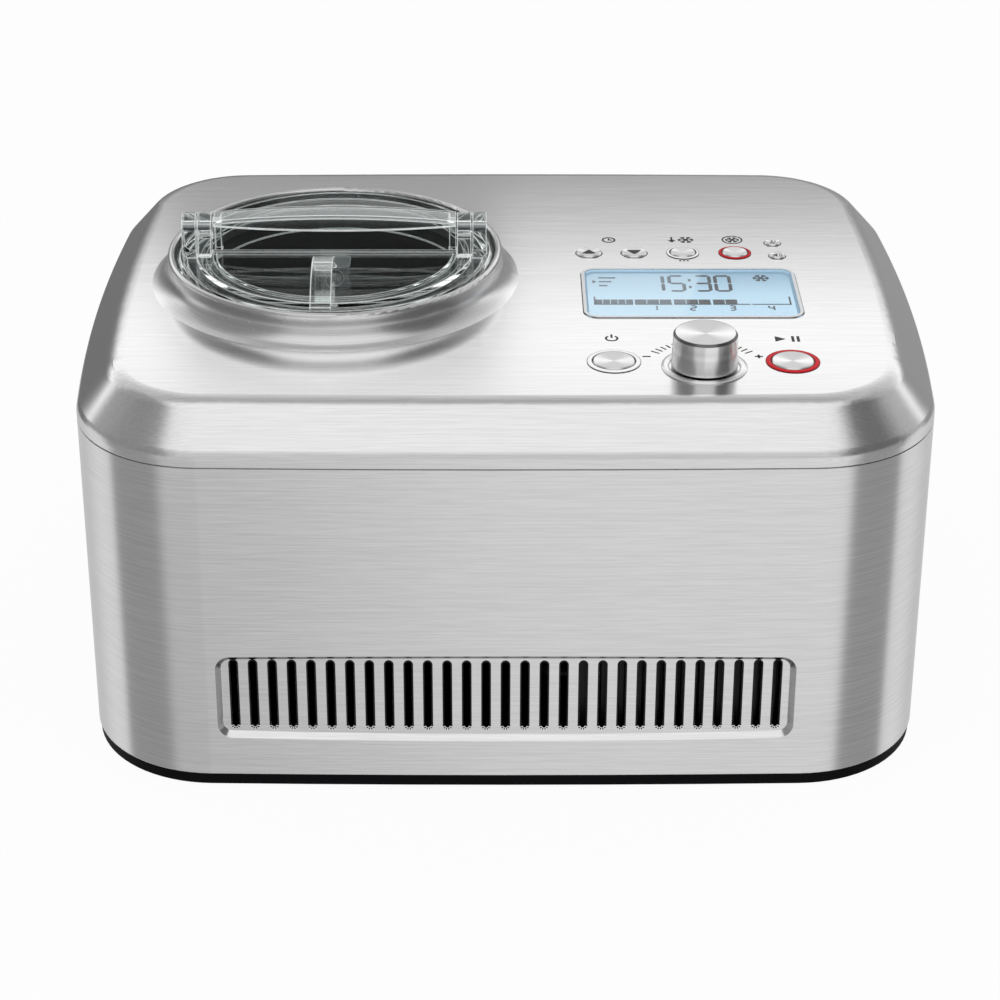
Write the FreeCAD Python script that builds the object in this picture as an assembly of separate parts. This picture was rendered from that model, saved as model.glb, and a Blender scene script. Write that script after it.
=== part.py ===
import FreeCAD, Part
import math
import os

V = FreeCAD.Vector

# Casing outline: a rectangle with bowed sides and rounded corners, front at -Y
BODY_WIDTH = 388.0
BODY_DEPTH = 303.0
SIDE_BOW = 9.5
FRONT_BOW = 3.0
CORNER_RADIUS = 59.0

# Heights of the casing, counted up from the surface it stands on
FOOT_PROUD = 1.0
TRAY_FLOOR = 3.5
TRAY_SKIRT = 5.8
WRAP_HEIGHT = 154.6
SEAM_GAP = 0.6
BAND_HEIGHT = 5.5
SHOULDER_HEIGHT = 19.2
COLLAR_HEIGHT = 14.5

# Walls and general clearances
WRAP_WALL = 1.0
COVER_WALL = 1.6
SKIRT_WALL = 1.6
SKIRT_DROP = 9.0
FIT_GAP = 0.3
REST_GAP = 0.3
RUNNING_FIT = 0.05
PRESS_GAP = 0.02
STRIP_INSET = 0.8
UPSTAND_WALL = 2.0
UPSTAND_HEIGHT = 8.0

# Top plate and shoulder
PLATE_INSET = 17.0
PLATE_CORNER = 43.0
SHOULDER_FILLET = 7.0
PLATE_FILLET = 10.0
COVER_LEAN = 0.4

# Front air intake, stamped into the wrap
VENT_WIDTH = 260.0
VENT_HEIGHT = 44.5
VENT_BOTTOM = 24.7
VENT_CORNER = 8.0
VENT_DEPTH = 2.5
VENT_BEVEL = 2.5
SLOT_COUNT = 29
SLOT_PITCH = 8.62
SLOT_WIDTH = 2.9
SLOT_HEIGHT = 35.4
SLOT_RISE = 0.9

# Rear grille and cord inlet
GRILLE_WIDTH = 150.0
GRILLE_HEIGHT = 70.0
GRILLE_BOTTOM = 45.0
GRILLE_LIP = 6.0
GRILLE_CORNER = 6.0
GRILLE_WALL = 2.0
LOUVRE_COUNT = 9
LOUVRE_HEIGHT = 3.2
LOUVRE_MARGIN = 12.0
GLAND_FROM_SIDE = 80.0
GLAND_Z = 28.0
GLAND_RADIUS = 6.5
GLAND_FLANGE = 9.5
GLAND_BORE = 3.6
GLAND_LENGTH = 14.0
GLAND_FLANGE_WALL = 2.5

# Bowl side: collar, tub, bowl and insulation share one axis
BOWL_FROM_SIDE = 114.5
RIM_RADIUS = 78.2
RIM_ROLL = 3.2
FLARE_RADIUS = 86.0
FLARE_SHAPE = (0.22, 0.30)
COLLAR_BORE = 75.0
LEDGE_BORE = 69.0
LEDGE_RISE = 1.0
BOWL_INNER = 64.0
BOWL_WALL = 1.2
BOWL_FLANGE = 74.2
BOWL_FLANGE_WALL = 1.5
BOWL_CORNER = 8.0
SPINDLE_BORE = 8.5
SPINDLE_WALL = 1.5
SPINDLE_HEIGHT = 37.0
TUB_GAP = 1.0
TUB_UNDER_GAP = 1.5
TUB_WALL = 1.5
TUB_LIP = 72.5
TUB_DROP = 5.5
SEAL_WIDTH = 4.0
COIL_TUBE = 3.2
COIL_GAP = 0.3
COIL_TURNS = 5
COIL_START = 16.0
COIL_PITCH = 16.0
FOAM_OUTER = 90.0
FOAM_FLOOR = 6.0
FOAM_TOP_GAP = 3.0
FOAM_BOARD_GAP = 2.0

# Gear drive below the tub
MOTOR_SPACE = 34.5
GEARBOX_PLATE = 3.0
GEARBOX_INNER = 14.5
GEARBOX_ROOF = 2.5
GEARBOX_WALL = 2.5
GEARBOX_LEFT = 41.0
GEARBOX_RIGHT = 93.0
GEARBOX_HALF_DEPTH = 50.0
GEARBOX_CORNER = 12.0
GEARBOX_SCREW_INSET = 8.0
GEAR_POST = 5.0
WHEEL_TEETH = 48
PINION_TEETH = 12
FIRST_MODULE = 1.0
SECOND_MODULE = 1.25
PRESSURE_ANGLE = math.radians(25.0)
ADDENDUM = 0.95
DEDENDUM = 1.25
BACKLASH = 0.16
ROOT_STEP = 0.1
FIRST_FACE = 5.0
SECOND_FACE = 6.0
GEAR_GAP = 1.0
MOTOR_ANGLE = math.radians(-60.0)
IDLER_PIN = 3.0
MOTOR_RADIUS = 22.0
MOTOR_LENGTH = 30.0
MOTOR_SHAFT = 2.0
MOTOR_SHAFT_DEPTH = 10.0
MOTOR_BOSS = 6.0
SHAFT_RADIUS = 6.0
SHAFT_SQUARE = 8.0
SHAFT_SQUARE_LENGTH = 10.0
SHAFT_BUSH = 11.0

# Dasher
HUB_WALL = 3.0
HUB_GAP = 0.8
SOCKET_GAP = 0.15
HUB_ROOF = 4.0
POST_RADIUS = 7.0
POST_TOP_DROP = 8.0
HANDLE_SIZE = 14.0
HANDLE_HEIGHT = 11.0
HANDLE_BORE = 4.0
HANDLE_CORNER = 3.0
BLADE_GAP = 1.8
BLADE_WALL = 3.6
BLADE_RIM = 8.0
BLADE_TOP_DROP = 30.0
BLADE_SWEEP = 0.62
BLADE_BARS = 3
SCRAPER_WALL = 2.0
SCRAPER_WIDTH = 9.0
SCRAPER_ANGLE = 38.0

# Lid with a hinged front flap
LID_RADIUS = 73.6
LID_SKIRT_WALL = 2.8
LID_RISE = 8.4
LID_EDGE_RISE = 2.0
LID_EDGE_WIDTH = 2.4
LID_PLATE = 2.6
LID_OPENING = 57.0
LID_LIP = 62.6
LID_LIP_WALL = 2.2
LID_LIP_DROP = 5.8
RIDGE_FRONT = 4.0
RIDGE_DEPTH = 12.0
RIDGE_WALL = 2.4
RIDGE_HALF = 56.7
RIDGE_END_LOW = 14.6
RIDGE_END_HIGH = 17.6
RIDGE_CROWN = 2.9
RIDGE_BELLY = 2.3
RIDGE_LEG_WIDTH = 3.2
RIDGE_LEG_DEPTH = 5.0
LUG_INNER = 64.5
LUG_WIDTH = 6.5
LUG_HALF = 6.5
LUG_ROOM = 1.2
HINGE_RISE = 13.5
PIN_RADIUS = 2.0
FLAP_RADIUS = 65.0
FLAP_PLATE = 2.5
FLAP_BACK = 3.0
FLAP_PLUG_GAP = 1.5
FLAP_PLUG_DEPTH = 2.3
ARM_INNER = 57.3
ARM_GAP = 0.6
ARM_FOOT = 12.0
STRAP_FRONT = 70.0
STRAP_BACK = 20.0
STRAP_RISE = 13.0
STRAP_WALL = 3.0
STRAP_WIDTH = 9.5
STRAP_OFFSET = -3.2
STRAP_TAB_BITE = 9.5

# Control panel: places on the plate, counted across from the panel's middle line and back from the front
PANEL_FROM_SIDE = 107.6
POWER_OFFSET = (-38.8, 55.4)
START_OFFSET = (39.9, 55.4)
PRECOOL_OFFSET = (-0.6, 178.6)
KEEP_COLD_OFFSET = (24.4, 178.6)
TIMER_UP_OFFSET = (-45.7, 178.6)
TIMER_DOWN_OFFSET = (-24.0, 178.6)
UNITS_OFFSET = (43.6, 190.9)
SOUND_OFFSET = (44.4, 174.9)
DIAL_OFFSET = (0.6, 50.2)
DISPLAY_OFFSET = (0.0, 130.8)

# Control panel: sizes
BIG_BUTTON = 9.3
BIG_RING_WALL = 2.4
MID_BUTTON = 6.1
MID_RING_WALL = 1.5
TIMER_BUTTON = 6.2
SMALL_BUTTON = 3.95
BUTTON_PROUD = 0.9
BUTTON_DISH = 0.5
BUTTON_SEAT = 0.5
BUTTON_TRAVEL = 0.8
BUTTON_GAP = 0.3
BUTTON_STEM = 2.0
BUTTON_CLIP = 3.1
CLIP_WALL = 1.2
RING_PROUD = 0.5
RING_SPIGOT = 0.7
DIAL_RING = 18.8
DIAL_RING_WALL = 3.2
DIAL_RING_PROUD = 0.8
DIAL_RADIUS = 14.6
DIAL_RISE = 1.3
DIAL_HEIGHT = 15.3
DIAL_TOP = 13.3
DIAL_TOP_BEVEL = 1.0
DIAL_SHOULDER = 14.1
DIAL_DISH = 0.6
DIAL_SHAFT = 3.0
DIAL_SHAFT_LENGTH = 22.0
DIAL_ROOF = 4.0
DISPLAY_WIDTH = 100.6
DISPLAY_DEPTH = 57.0
DISPLAY_CORNER = 7.0
BEZEL_WALL = 1.5
BEZEL_PROUD = 0.5
WINDOW_PROUD = 0.3
BRACKET_WALL = 2.0
BRACKET_HALF = 56.0
BRACKET_FROM_FRONT = 29.5
BRACKET_DEPTH = 178.0
BRACKET_CORNER = 8.0
BRACKET_LEDGE = 1.0
BOARD_DROP = 12.4
BOARD_WALL = 1.6
BOARD_POST = 3.0
BOARD_POST_INSET = 5.0
MODULE_HEIGHT = 5.0
MODULE_LEDGE = 1.0
SWITCH_SIZE = 6.0
SWITCH_HEIGHT = 3.5
SWITCH_PLUNGER = 1.7
ENCODER_SIZE = 12.0
ENCODER_HEIGHT = 6.0
ENCODER_NECK = 4.4

# Cooling unit
COMPRESSOR_FROM_SIDE = 84.0
COMPRESSOR_FROM_BACK = 96.5
COMPRESSOR_RADIUS = 48.0
COMPRESSOR_HEIGHT = 112.0
COMPRESSOR_DOME = 16.0
COMPRESSOR_SEAM = 2.5
COMPRESSOR_SEAM_HEIGHT = 4.0
SEAM_SHARE = 0.55
PIPE_SHARE = 0.75
GROMMET_RADIUS = 8.0
GROMMET_HEIGHT = 12.5
GROMMET_BORE = 2.6
GROMMET_WAIST = 5.6
MOUNT_PLATE = 2.5
MOUNT_HALF = 40.0
MOUNT_SIDE = 100.0
TERMINAL_WIDTH = 32.0
TERMINAL_HEIGHT = 40.0
TERMINAL_DEPTH = 15.0
CONDENSER_FROM_SIDE = 164.0
CONDENSER_FROM_FRONT = 12.0
CONDENSER_WIDTH = 120.0
CONDENSER_DEPTH = 22.0
CONDENSER_HEIGHT = 112.0
CONDENSER_RISE = 8.0
HEADER_WIDTH = 6.0
FIN_COUNT = 27
FIN_SLOT = 2.0
FIN_CORE = 6.0
SHROUD_GAP = 2.0
SHROUD_PLATE = 3.0
SHROUD_DEPTH = 22.0
SHROUD_WALL = 2.0
FAN_RADIUS = 48.5
FAN_TIP_GAP = 1.5
FAN_PLATE_GAP = 1.0
FAN_HUB = 15.0
FAN_BLADES = 5
FAN_PITCH = 32.0
FAN_CHORD = 26.0
BLADE_THICKNESS = 2.0
FAN_DEPTH = 15.0
FAN_MOTOR_RADIUS = 19.0
FAN_MOTOR_LENGTH = 30.0
FAN_MOTOR_GAP = 2.0
FAN_SHAFT = 2.0
FAN_SHAFT_DEPTH = 10.0
SPOKE_WIDTH = 8.0
SPOKE_WALL = 3.0
PIPE_RADIUS = 3.2
CAPILLARY_RADIUS = 1.6
DRIER_FROM_CONDENSER = 12.0
DRIER_FROM_FRONT = 39.5
DRIER_NECK = 2.6
DRIER_RADIUS = 8.5
DRIER_LENGTH = 70.0
DRIER_TAPER = 12.0
DRIER_RISE = 55.0

# Power board, posts, screws, tray slots and feet
POWER_BOARD_FROM_SIDE = 44.0
POWER_BOARD_WIDTH = 110.0
POWER_BOARD_HEIGHT = 80.0
POWER_BOARD_FROM_BACK = 24.0
POWER_BOARD_RISE = 6.0
TRANSFORMER_SIZE = (42.0, 26.0, 36.0)
WINDING_SIZE = (28.0, 28.5, 28.8)
CAPACITOR_RADIUS = 8.0
CAPACITOR_LENGTH = 22.0
CAPACITOR_SPACING = 22.4
CAPACITOR_SHARE = 0.75
RAIL_WIDTH = 6.0
RAIL_DEPTH = 7.0
RAIL_BITE = 3.0
POST_INSET = 20.0
POST_BACK = 98.0
POST_RIGHT_FRONT = 70.0
CORNER_POST = 6.0
CORNER_POST_HEIGHT = 110.0
POST_BORE = 2.2
SCREW_HEAD = 4.0
SCREW_HEAD_HEIGHT = 2.0
SCREW_SHANK = 2.0
SCREW_GRIP = 24.0
BOARD_SCREW_BITE = 5.0
TRAY_SLOTS = 7
TRAY_SLOT_PITCH = 10.0
TRAY_SLOT_WIDTH = 6.0
TRAY_SLOT_LENGTH = 40.0
FOOT_RADIUS = 11.0
FOOT_STUD = 4.0
FOOT_STUD_HEAD = 5.5
FOOT_STUD_RISE = 2.0
FOOT_INSET_X = 30.0
FOOT_INSET_Y = 38.0

# Levels and radii that follow from the sizes above
HALF_W = BODY_WIDTH / 2
HALF_D = BODY_DEPTH / 2
BOWL_X = BOWL_FROM_SIDE - HALF_W
PANEL_X = HALF_W - PANEL_FROM_SIDE
GLAND_X = HALF_W - GLAND_FROM_SIDE
COMPRESSOR_PLACE = (HALF_W - COMPRESSOR_FROM_SIDE, HALF_D - COMPRESSOR_FROM_BACK)
CONDENSER_LEFT = HALF_W - CONDENSER_FROM_SIDE
CONDENSER_FRONT = CONDENSER_FROM_FRONT - HALF_D
DRIER_PLACE = (CONDENSER_LEFT - DRIER_FROM_CONDENSER, DRIER_FROM_FRONT - HALF_D)
POWER_BOARD_LEFT = POWER_BOARD_FROM_SIDE - HALF_W
POWER_BOARD_Y = HALF_D - POWER_BOARD_FROM_BACK
POST_X = HALF_W - POST_INSET
CORNER_POSTS = [(-POST_X, -POST_BACK), (-POST_X, POST_BACK), (POST_X, -POST_RIGHT_FRONT), (POST_X, POST_BACK)]
DIAL_PLACE = (PANEL_X + DIAL_OFFSET[0], DIAL_OFFSET[1] - HALF_D)
DISPLAY_PLACE = (PANEL_X + DISPLAY_OFFSET[0], DISPLAY_OFFSET[1] - HALF_D)
BRACKET_LEFT = PANEL_X - BRACKET_HALF
BRACKET_RIGHT = PANEL_X + BRACKET_HALF
BRACKET_FRONT = BRACKET_FROM_FRONT - HALF_D
BRACKET_BACK = BRACKET_FRONT + BRACKET_DEPTH
GLASS_CORNER = DISPLAY_CORNER - BEZEL_WALL - BRACKET_LEDGE
FRONT_R = (HALF_W ** 2 + FRONT_BOW ** 2) / (2 * FRONT_BOW)
SIDE_R = (HALF_D ** 2 + SIDE_BOW ** 2) / (2 * SIDE_BOW)
FLOOR_Z = FOOT_PROUD + TRAY_FLOOR
WRAP_Z = FOOT_PROUD + TRAY_SKIRT
WRAP_TOP = WRAP_Z + WRAP_HEIGHT
SEAM_Z = WRAP_TOP + SEAM_GAP
BAND_Z = SEAM_Z + BAND_HEIGHT
PLATE_Z = BAND_Z + SHOULDER_HEIGHT
PLATE_UNDER = PLATE_Z - COVER_WALL
RIM_Z = PLATE_Z + COLLAR_HEIGHT
LEDGE_Z = PLATE_Z + LEDGE_RISE
GEARBOX_Z = FLOOR_Z + MOTOR_SPACE
GEAR_Z = GEARBOX_Z + GEARBOX_PLATE
GEARBOX_TOP = GEAR_Z + GEARBOX_INNER + GEARBOX_ROOF
TUB_Z = GEARBOX_TOP + FOAM_FLOOR
TUB_TOP = PLATE_Z - TUB_DROP
TUB_INNER = BOWL_INNER + BOWL_WALL + TUB_GAP
TUB_OUTER = TUB_INNER + TUB_WALL
COIL_RADIUS = TUB_OUTER + COIL_GAP + COIL_TUBE
FOAM_INNER = COIL_RADIUS + COIL_TUBE + COIL_GAP
FOAM_TOP = TUB_TOP - FOAM_TOP_GAP
BOWL_Z = TUB_Z + TUB_WALL + TUB_UNDER_GAP
BOWL_FLOOR = BOWL_Z + BOWL_WALL
FLANGE_Z = LEDGE_Z + REST_GAP
FLANGE_TOP = FLANGE_Z + BOWL_FLANGE_WALL
SPINDLE_TOP = BOWL_Z + SPINDLE_HEIGHT
SPINDLE_OUTER = SPINDLE_BORE + SPINDLE_WALL
SHAFT_TOP = SPINDLE_TOP + REST_GAP + SHAFT_SQUARE_LENGTH
LID_Z = FLANGE_TOP + REST_GAP
LID_TOP = LID_Z + LID_RISE
HINGE_Z = LID_TOP + HINGE_RISE
FLAP_Z = LID_TOP + REST_GAP
FLAP_TOP = FLAP_Z + FLAP_PLATE
IDLER_X = BOWL_X + (WHEEL_TEETH + PINION_TEETH) * SECOND_MODULE / 2
FIRST_CENTRES = (WHEEL_TEETH + PINION_TEETH) * FIRST_MODULE / 2
MOTOR_X = IDLER_X + FIRST_CENTRES * math.cos(MOTOR_ANGLE)
MOTOR_Y = FIRST_CENTRES * math.sin(MOTOR_ANGLE)
FIRST_Z = GEAR_Z + GEAR_GAP
SECOND_Z = FIRST_Z + FIRST_FACE + GEAR_GAP
BRACKET_Z = PLATE_UNDER - BRACKET_WALL
BOARD_TOP = PLATE_Z - BOARD_DROP
SWITCH_TOP = BOARD_TOP + SWITCH_HEIGHT
STEM_END = SWITCH_TOP + BUTTON_TRAVEL + BUTTON_GAP
CAP_Z = PLATE_UNDER + BUTTON_TRAVEL + BUTTON_GAP
POST_TOP = FLOOR_Z + CORNER_POST_HEIGHT
MOUNT_Z = FLOOR_Z + GROMMET_HEIGHT
POT_Z = MOUNT_Z + MOUNT_PLATE
POT_SEAM_Z = POT_Z + COMPRESSOR_HEIGHT * SEAM_SHARE
PIPE_Z = POT_Z + COMPRESSOR_HEIGHT * PIPE_SHARE
CONDENSER_Z = FLOOR_Z + CONDENSER_RISE
SHROUD_Y = CONDENSER_FRONT + CONDENSER_DEPTH + SHROUD_GAP
FAN_X = CONDENSER_LEFT + CONDENSER_WIDTH / 2
FAN_Z = CONDENSER_Z + CONDENSER_HEIGHT / 2


def circle_meeting(c1, r1, c2, r2):
    """Meeting point of two circles on the right of the line from c1 to c2."""
    dx = c2[0] - c1[0]
    dy = c2[1] - c1[1]
    span = math.hypot(dx, dy)
    along = (r1 ** 2 - r2 ** 2 + span ** 2) / (2 * span)
    off = math.sqrt(r1 ** 2 - along ** 2)
    x = c1[0] + along * dx / span - off * dy / span
    y = c1[1] + along * dy / span + off * dx / span
    return x, y


def arc(a, b, c):
    """Arc edge through three points."""
    return Part.Arc(a, b, c).toShape()


def body_outline(inset, corner, z):
    """Closed casing outline, set in from the outside, with the given corner radius."""
    front_centre = (0.0, FRONT_R - HALF_D)
    side_centre = (HALF_W - SIDE_R, 0.0)
    cx, cy = circle_meeting(front_centre, FRONT_R - inset - corner, side_centre, SIDE_R - inset - corner)
    centre = V(cx, cy, z)
    to_front = centre - V(front_centre[0], front_centre[1], z)
    to_side = centre - V(side_centre[0], side_centre[1], z)
    to_front.normalize()
    to_side.normalize()
    between = to_front + to_side
    between.normalize()
    low = centre + to_front * corner
    mid = centre + between * corner
    high = centre + to_side * corner
    front_mid = V(0, inset - HALF_D, z)
    side_mid = V(HALF_W - inset, 0, z)

    def at(point, sx, sy):
        return V(point.x * sx, point.y * sy, z)

    edges = []
    edges.append(arc(at(low, -1, 1), front_mid, low))
    edges.append(arc(low, mid, high))
    edges.append(arc(high, side_mid, at(high, 1, -1)))
    edges.append(arc(at(high, 1, -1), at(mid, 1, -1), at(low, 1, -1)))
    edges.append(arc(at(low, 1, -1), at(front_mid, 1, -1), at(low, -1, -1)))
    edges.append(arc(at(low, -1, -1), at(mid, -1, -1), at(high, -1, -1)))
    edges.append(arc(at(high, -1, -1), at(side_mid, -1, 1), at(high, -1, 1)))
    edges.append(arc(at(high, -1, 1), at(mid, -1, 1), at(low, -1, 1)))
    return Part.Wire(edges)


def body_solid(inset, z0, z1):
    """Casing prism between two levels, all sides set in alike."""
    face = Part.Face(body_outline(inset, CORNER_RADIUS - inset, z0))
    return face.extrude(V(0, 0, z1 - z0))


def body_ring(outer, inner, z0, z1):
    """Casing wall between two insets."""
    return body_solid(outer, z0, z1).cut(body_solid(inner, z0 - 1, z1 + 1))


def box(x0, x1, y0, y1, z0, z1):
    """Box between limits."""
    return Part.makeBox(x1 - x0, y1 - y0, z1 - z0, V(x0, y0, z0))


def rod(x, y, z0, z1, radius):
    """Upright cylinder between two levels."""
    return Part.makeCylinder(radius, z1 - z0, V(x, y, z0))


def tube(x, y, z0, z1, outer, inner):
    """Upright tube between two levels."""
    return rod(x, y, z0, z1, outer).cut(rod(x, y, z0 - 1, z1 + 1, inner))


def rod_along(axis, start, length, radius):
    """Cylinder along a given direction."""
    return Part.makeCylinder(radius, length, start, axis)


def profile_face(steps, plane):
    """Face from a list of points, where a pair of points is an arc through the first to the second."""
    def lift(point):
        return plane(point[0], point[1])

    edges = []
    here = steps[0]
    for step in steps[1:] + [steps[0]]:
        if isinstance(step[0], tuple):
            edges.append(arc(lift(here), lift(step[0]), lift(step[1])))
            here = step[1]
        else:
            if here != step:
                edges.append(Part.makeLine(lift(here), lift(step)))
            here = step
    return Part.Face(Part.Wire(edges))


def turned(steps, x=0.0, y=0.0):
    """Solid of revolution about an upright axis from radius and height pairs."""
    face = profile_face(steps, lambda r, z: V(x + r, y, z))
    return face.revolve(V(x, y, 0), V(0, 0, 1), 360)


def dish(radius, top, depth):
    """Arc step for a shallow dish, from its rim to the axis."""
    ball = (radius ** 2 + depth ** 2) / (2 * depth)
    half = math.asin(radius / ball) / 2
    middle = (ball * math.sin(half), top - depth + ball * (1 - math.cos(half)))
    return middle, (0.0, top - depth)


def rounded_wire(x, y, width, depth, radius, plane):
    """Rectangle with round corners, drawn through a plane function."""
    hw = width / 2
    hd = depth / 2
    k = radius * (1 - math.sqrt(0.5))
    steps = [
        (x - hw + radius, y - hd),
        (x + hw - radius, y - hd),
        ((x + hw - k, y - hd + k), (x + hw, y - hd + radius)),
        (x + hw, y + hd - radius),
        ((x + hw - k, y + hd - k), (x + hw - radius, y + hd)),
        (x - hw + radius, y + hd),
        ((x - hw + k, y + hd - k), (x - hw, y + hd - radius)),
        (x - hw, y - hd + radius),
        ((x - hw + k, y - hd + k), (x - hw + radius, y - hd)),
    ]
    return profile_face(steps, plane).OuterWire


def rounded_block(x, y, width, depth, radius, z0, z1):
    """Upright block with round corners."""
    wire = rounded_wire(x, y, width, depth, radius, lambda a, b: V(a, b, z0))
    return Part.Face(wire).extrude(V(0, 0, z1 - z0))


def fuse(shapes):
    """One solid from pieces that touch."""
    body = shapes[0]
    if len(shapes) > 1:
        body = body.multiFuse(shapes[1:])
    return body.removeSplitter()


def bent_path(points, bend):
    """Straight runs joined by tangent arcs of one bend radius."""
    edges = []
    here = points[0]
    for i in range(1, len(points) - 1):
        corner = points[i]
        back = points[i - 1] - corner
        ahead = points[i + 1] - corner
        back.normalize()
        ahead.normalize()
        half = back.getAngle(ahead) / 2
        cut = bend / math.tan(half)
        start = corner + back * cut
        end = corner + ahead * cut
        inward = back + ahead
        inward.normalize()
        middle = corner + inward * (bend / math.sin(half) - bend)
        edges.append(Part.makeLine(here, start))
        edges.append(arc(start, middle, end))
        here = end
    edges.append(Part.makeLine(here, points[-1]))
    return Part.Wire(edges)


def swept_tube(path, radius):
    """Round tube along a path: a cylinder for each line and a ring section for each arc."""
    pieces = []
    for edge in path.OrderedEdges:
        start = edge.valueAt(edge.FirstParameter)
        end = edge.valueAt(edge.LastParameter)
        disc = Part.Face(Part.Wire(Part.makeCircle(radius, start, edge.tangentAt(edge.FirstParameter))))
        if isinstance(edge.Curve, Part.Circle):
            turn = math.degrees(edge.LastParameter - edge.FirstParameter)
            pieces.append(disc.revolve(edge.Curve.Center, edge.Curve.Axis, turn))
        else:
            pieces.append(disc.extrude(end - start))
    return fuse(pieces)


def biarc(p0, t0, p1, t1):
    """Two tangent arcs from one point and direction to another."""
    span = p1 - p0
    a = 2 * (1 - t0.dot(t1))
    b = 2 * span.dot(t0 + t1)
    reach = (-b + math.sqrt(b * b + 4 * a * span.dot(span))) / (2 * a)
    q0 = p0 + t0 * reach
    q1 = p1 - t1 * reach
    joint = (q0 + q1) * 0.5

    def half(start, apex, end):
        middle = (start + end) * 0.5
        rise = apex - middle
        chord = (end - start).Length / 2
        angle = math.atan2(rise.Length, chord)
        rise.normalize()
        return arc(start, middle + rise * (chord * math.tan(angle / 2)), end)

    return [half(p0, q0, joint), half(joint, q1, p1)]


def gear_face(teeth, module, z, turn):
    """Outline of a spur gear with straight-sided approximations of involute flanks."""
    pitch_r = teeth * module / 2
    base_r = pitch_r * math.cos(PRESSURE_ANGLE)
    tip_r = pitch_r + ADDENDUM * module
    root_r = pitch_r - DEDENDUM * module
    thick = (math.pi * module / 2 - BACKLASH) / (2 * pitch_r)

    def involute(r):
        ratio = min(1.0, base_r / r)
        return math.tan(math.acos(ratio)) - math.acos(ratio)

    def half_angle(r):
        return thick + involute(pitch_r) - involute(max(r, base_r))

    radii = [root_r, max(base_r, root_r + ROOT_STEP * module), pitch_r, tip_r]
    points = []
    for i in range(teeth):
        middle = turn + 2 * math.pi * i / teeth
        flank = [(r, middle - half_angle(r)) for r in radii]
        flank += [(r, middle + half_angle(r)) for r in reversed(radii)]
        points += [V(r * math.cos(a), r * math.sin(a), z) for r, a in flank]
    return Part.Face(Part.makePolygon(points + [points[0]]))


def gear(teeth, module, x, y, z, face_width, turn):
    """Spur gear standing on the given level."""
    solid = gear_face(teeth, module, z, turn).extrude(V(0, 0, face_width))
    solid.translate(V(x, y, 0))
    return solid


# Casing


def base_tray():
    """Moulded floor with its black strip, upstand, posts and board rails."""
    inner = WRAP_WALL + FIT_GAP
    pieces = [
        body_solid(STRIP_INSET, FOOT_PROUD, FLOOR_Z),
        body_ring(STRIP_INSET, inner + UPSTAND_WALL, FOOT_PROUD, WRAP_Z),
        body_ring(inner, inner + UPSTAND_WALL, FLOOR_Z, WRAP_Z + UPSTAND_HEIGHT),
    ]
    for x, y in CORNER_POSTS:
        pieces.append(rod(x, y, FLOOR_Z, POST_TOP, CORNER_POST))
    for x, y in gearbox_screw_places():
        pieces.append(rod(x, y, FLOOR_Z, GEARBOX_Z, GEAR_POST))
    for side in (0, 1):
        x = POWER_BOARD_LEFT + side * POWER_BOARD_WIDTH
        inward = 1 - 2 * side
        x0 = min(x - RAIL_WIDTH * inward, x + RAIL_BITE * inward)
        rail_top = FLOOR_Z + POWER_BOARD_RISE + POWER_BOARD_HEIGHT / 2
        pieces.append(box(x0, x0 + RAIL_WIDTH + RAIL_BITE, POWER_BOARD_Y - RAIL_DEPTH / 2,
                          POWER_BOARD_Y + RAIL_DEPTH / 2, FLOOR_Z, rail_top))
    tray = fuse(pieces)
    tray = tray.cut(power_board_blank(FIT_GAP))
    for x, y in CORNER_POSTS:
        tray = tray.cut(rod(x, y, FOOT_PROUD - 1, POST_TOP + 1, POST_BORE))
        tray = tray.cut(rod(x, y, FOOT_PROUD - 1, POST_TOP - SCREW_GRIP / 2, SCREW_HEAD + FIT_GAP))
    for x, y in foot_places():
        tray = tray.cut(rod(x, y, FOOT_PROUD - 1, FLOOR_Z + 1, FOOT_STUD))
    for i in range(TRAY_SLOTS):
        x = COMPRESSOR_PLACE[0] + (i - (TRAY_SLOTS - 1) / 2) * TRAY_SLOT_PITCH
        slot = rounded_block(x, COMPRESSOR_PLACE[1], TRAY_SLOT_WIDTH, TRAY_SLOT_LENGTH,
                             TRAY_SLOT_WIDTH / 2 - FIT_GAP, FOOT_PROUD - 1, FLOOR_Z + 1)
        tray = tray.cut(slot)
    return tray


def foot_places():
    """Centres of the four feet."""
    x = HALF_W - FOOT_INSET_X
    y = HALF_D - FOOT_INSET_Y
    return [(sx * x, sy * y) for sx in (-1, 1) for sy in (-1, 1)]


def rubber_feet():
    """Four push-in feet with a barbed stud."""
    feet = []
    for x, y in foot_places():
        top = FLOOR_Z + FOOT_STUD_RISE
        edge = FOOT_PROUD / 2
        steps = [
            (0.0, 0.0),
            (FOOT_RADIUS - edge, 0.0),
            (FOOT_RADIUS, edge),
            (FOOT_RADIUS, FOOT_PROUD),
            (FOOT_STUD, FOOT_PROUD),
            (FOOT_STUD, FLOOR_Z),
            (FOOT_STUD_HEAD, FLOOR_Z),
            (FOOT_STUD / 2, top),
            (0.0, top),
        ]
        feet.append(turned(steps, x, y))
    return Part.makeCompound(feet)


def vent_frustum(grow):
    """Bevelled pocket through the front wall, grown sideways by the given amount."""
    z = VENT_BOTTOM + VENT_HEIGHT / 2
    y_out = -HALF_D - 1
    y_in = -HALF_D + FRONT_BOW + VENT_DEPTH + WRAP_WALL + 1
    slope = VENT_BEVEL / VENT_DEPTH
    wires = []
    for y in (y_out, y_in):
        depth = y + HALF_D
        width = VENT_WIDTH + 2 * (grow - slope * depth)
        height = VENT_HEIGHT + 2 * (grow - slope * depth)
        corner = VENT_CORNER + grow - slope * depth
        wires.append(rounded_wire(0.0, z, width, height, corner, lambda a, b, d=y: V(a, d, b)))
    return Part.makeLoft(wires, True, True)


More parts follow.
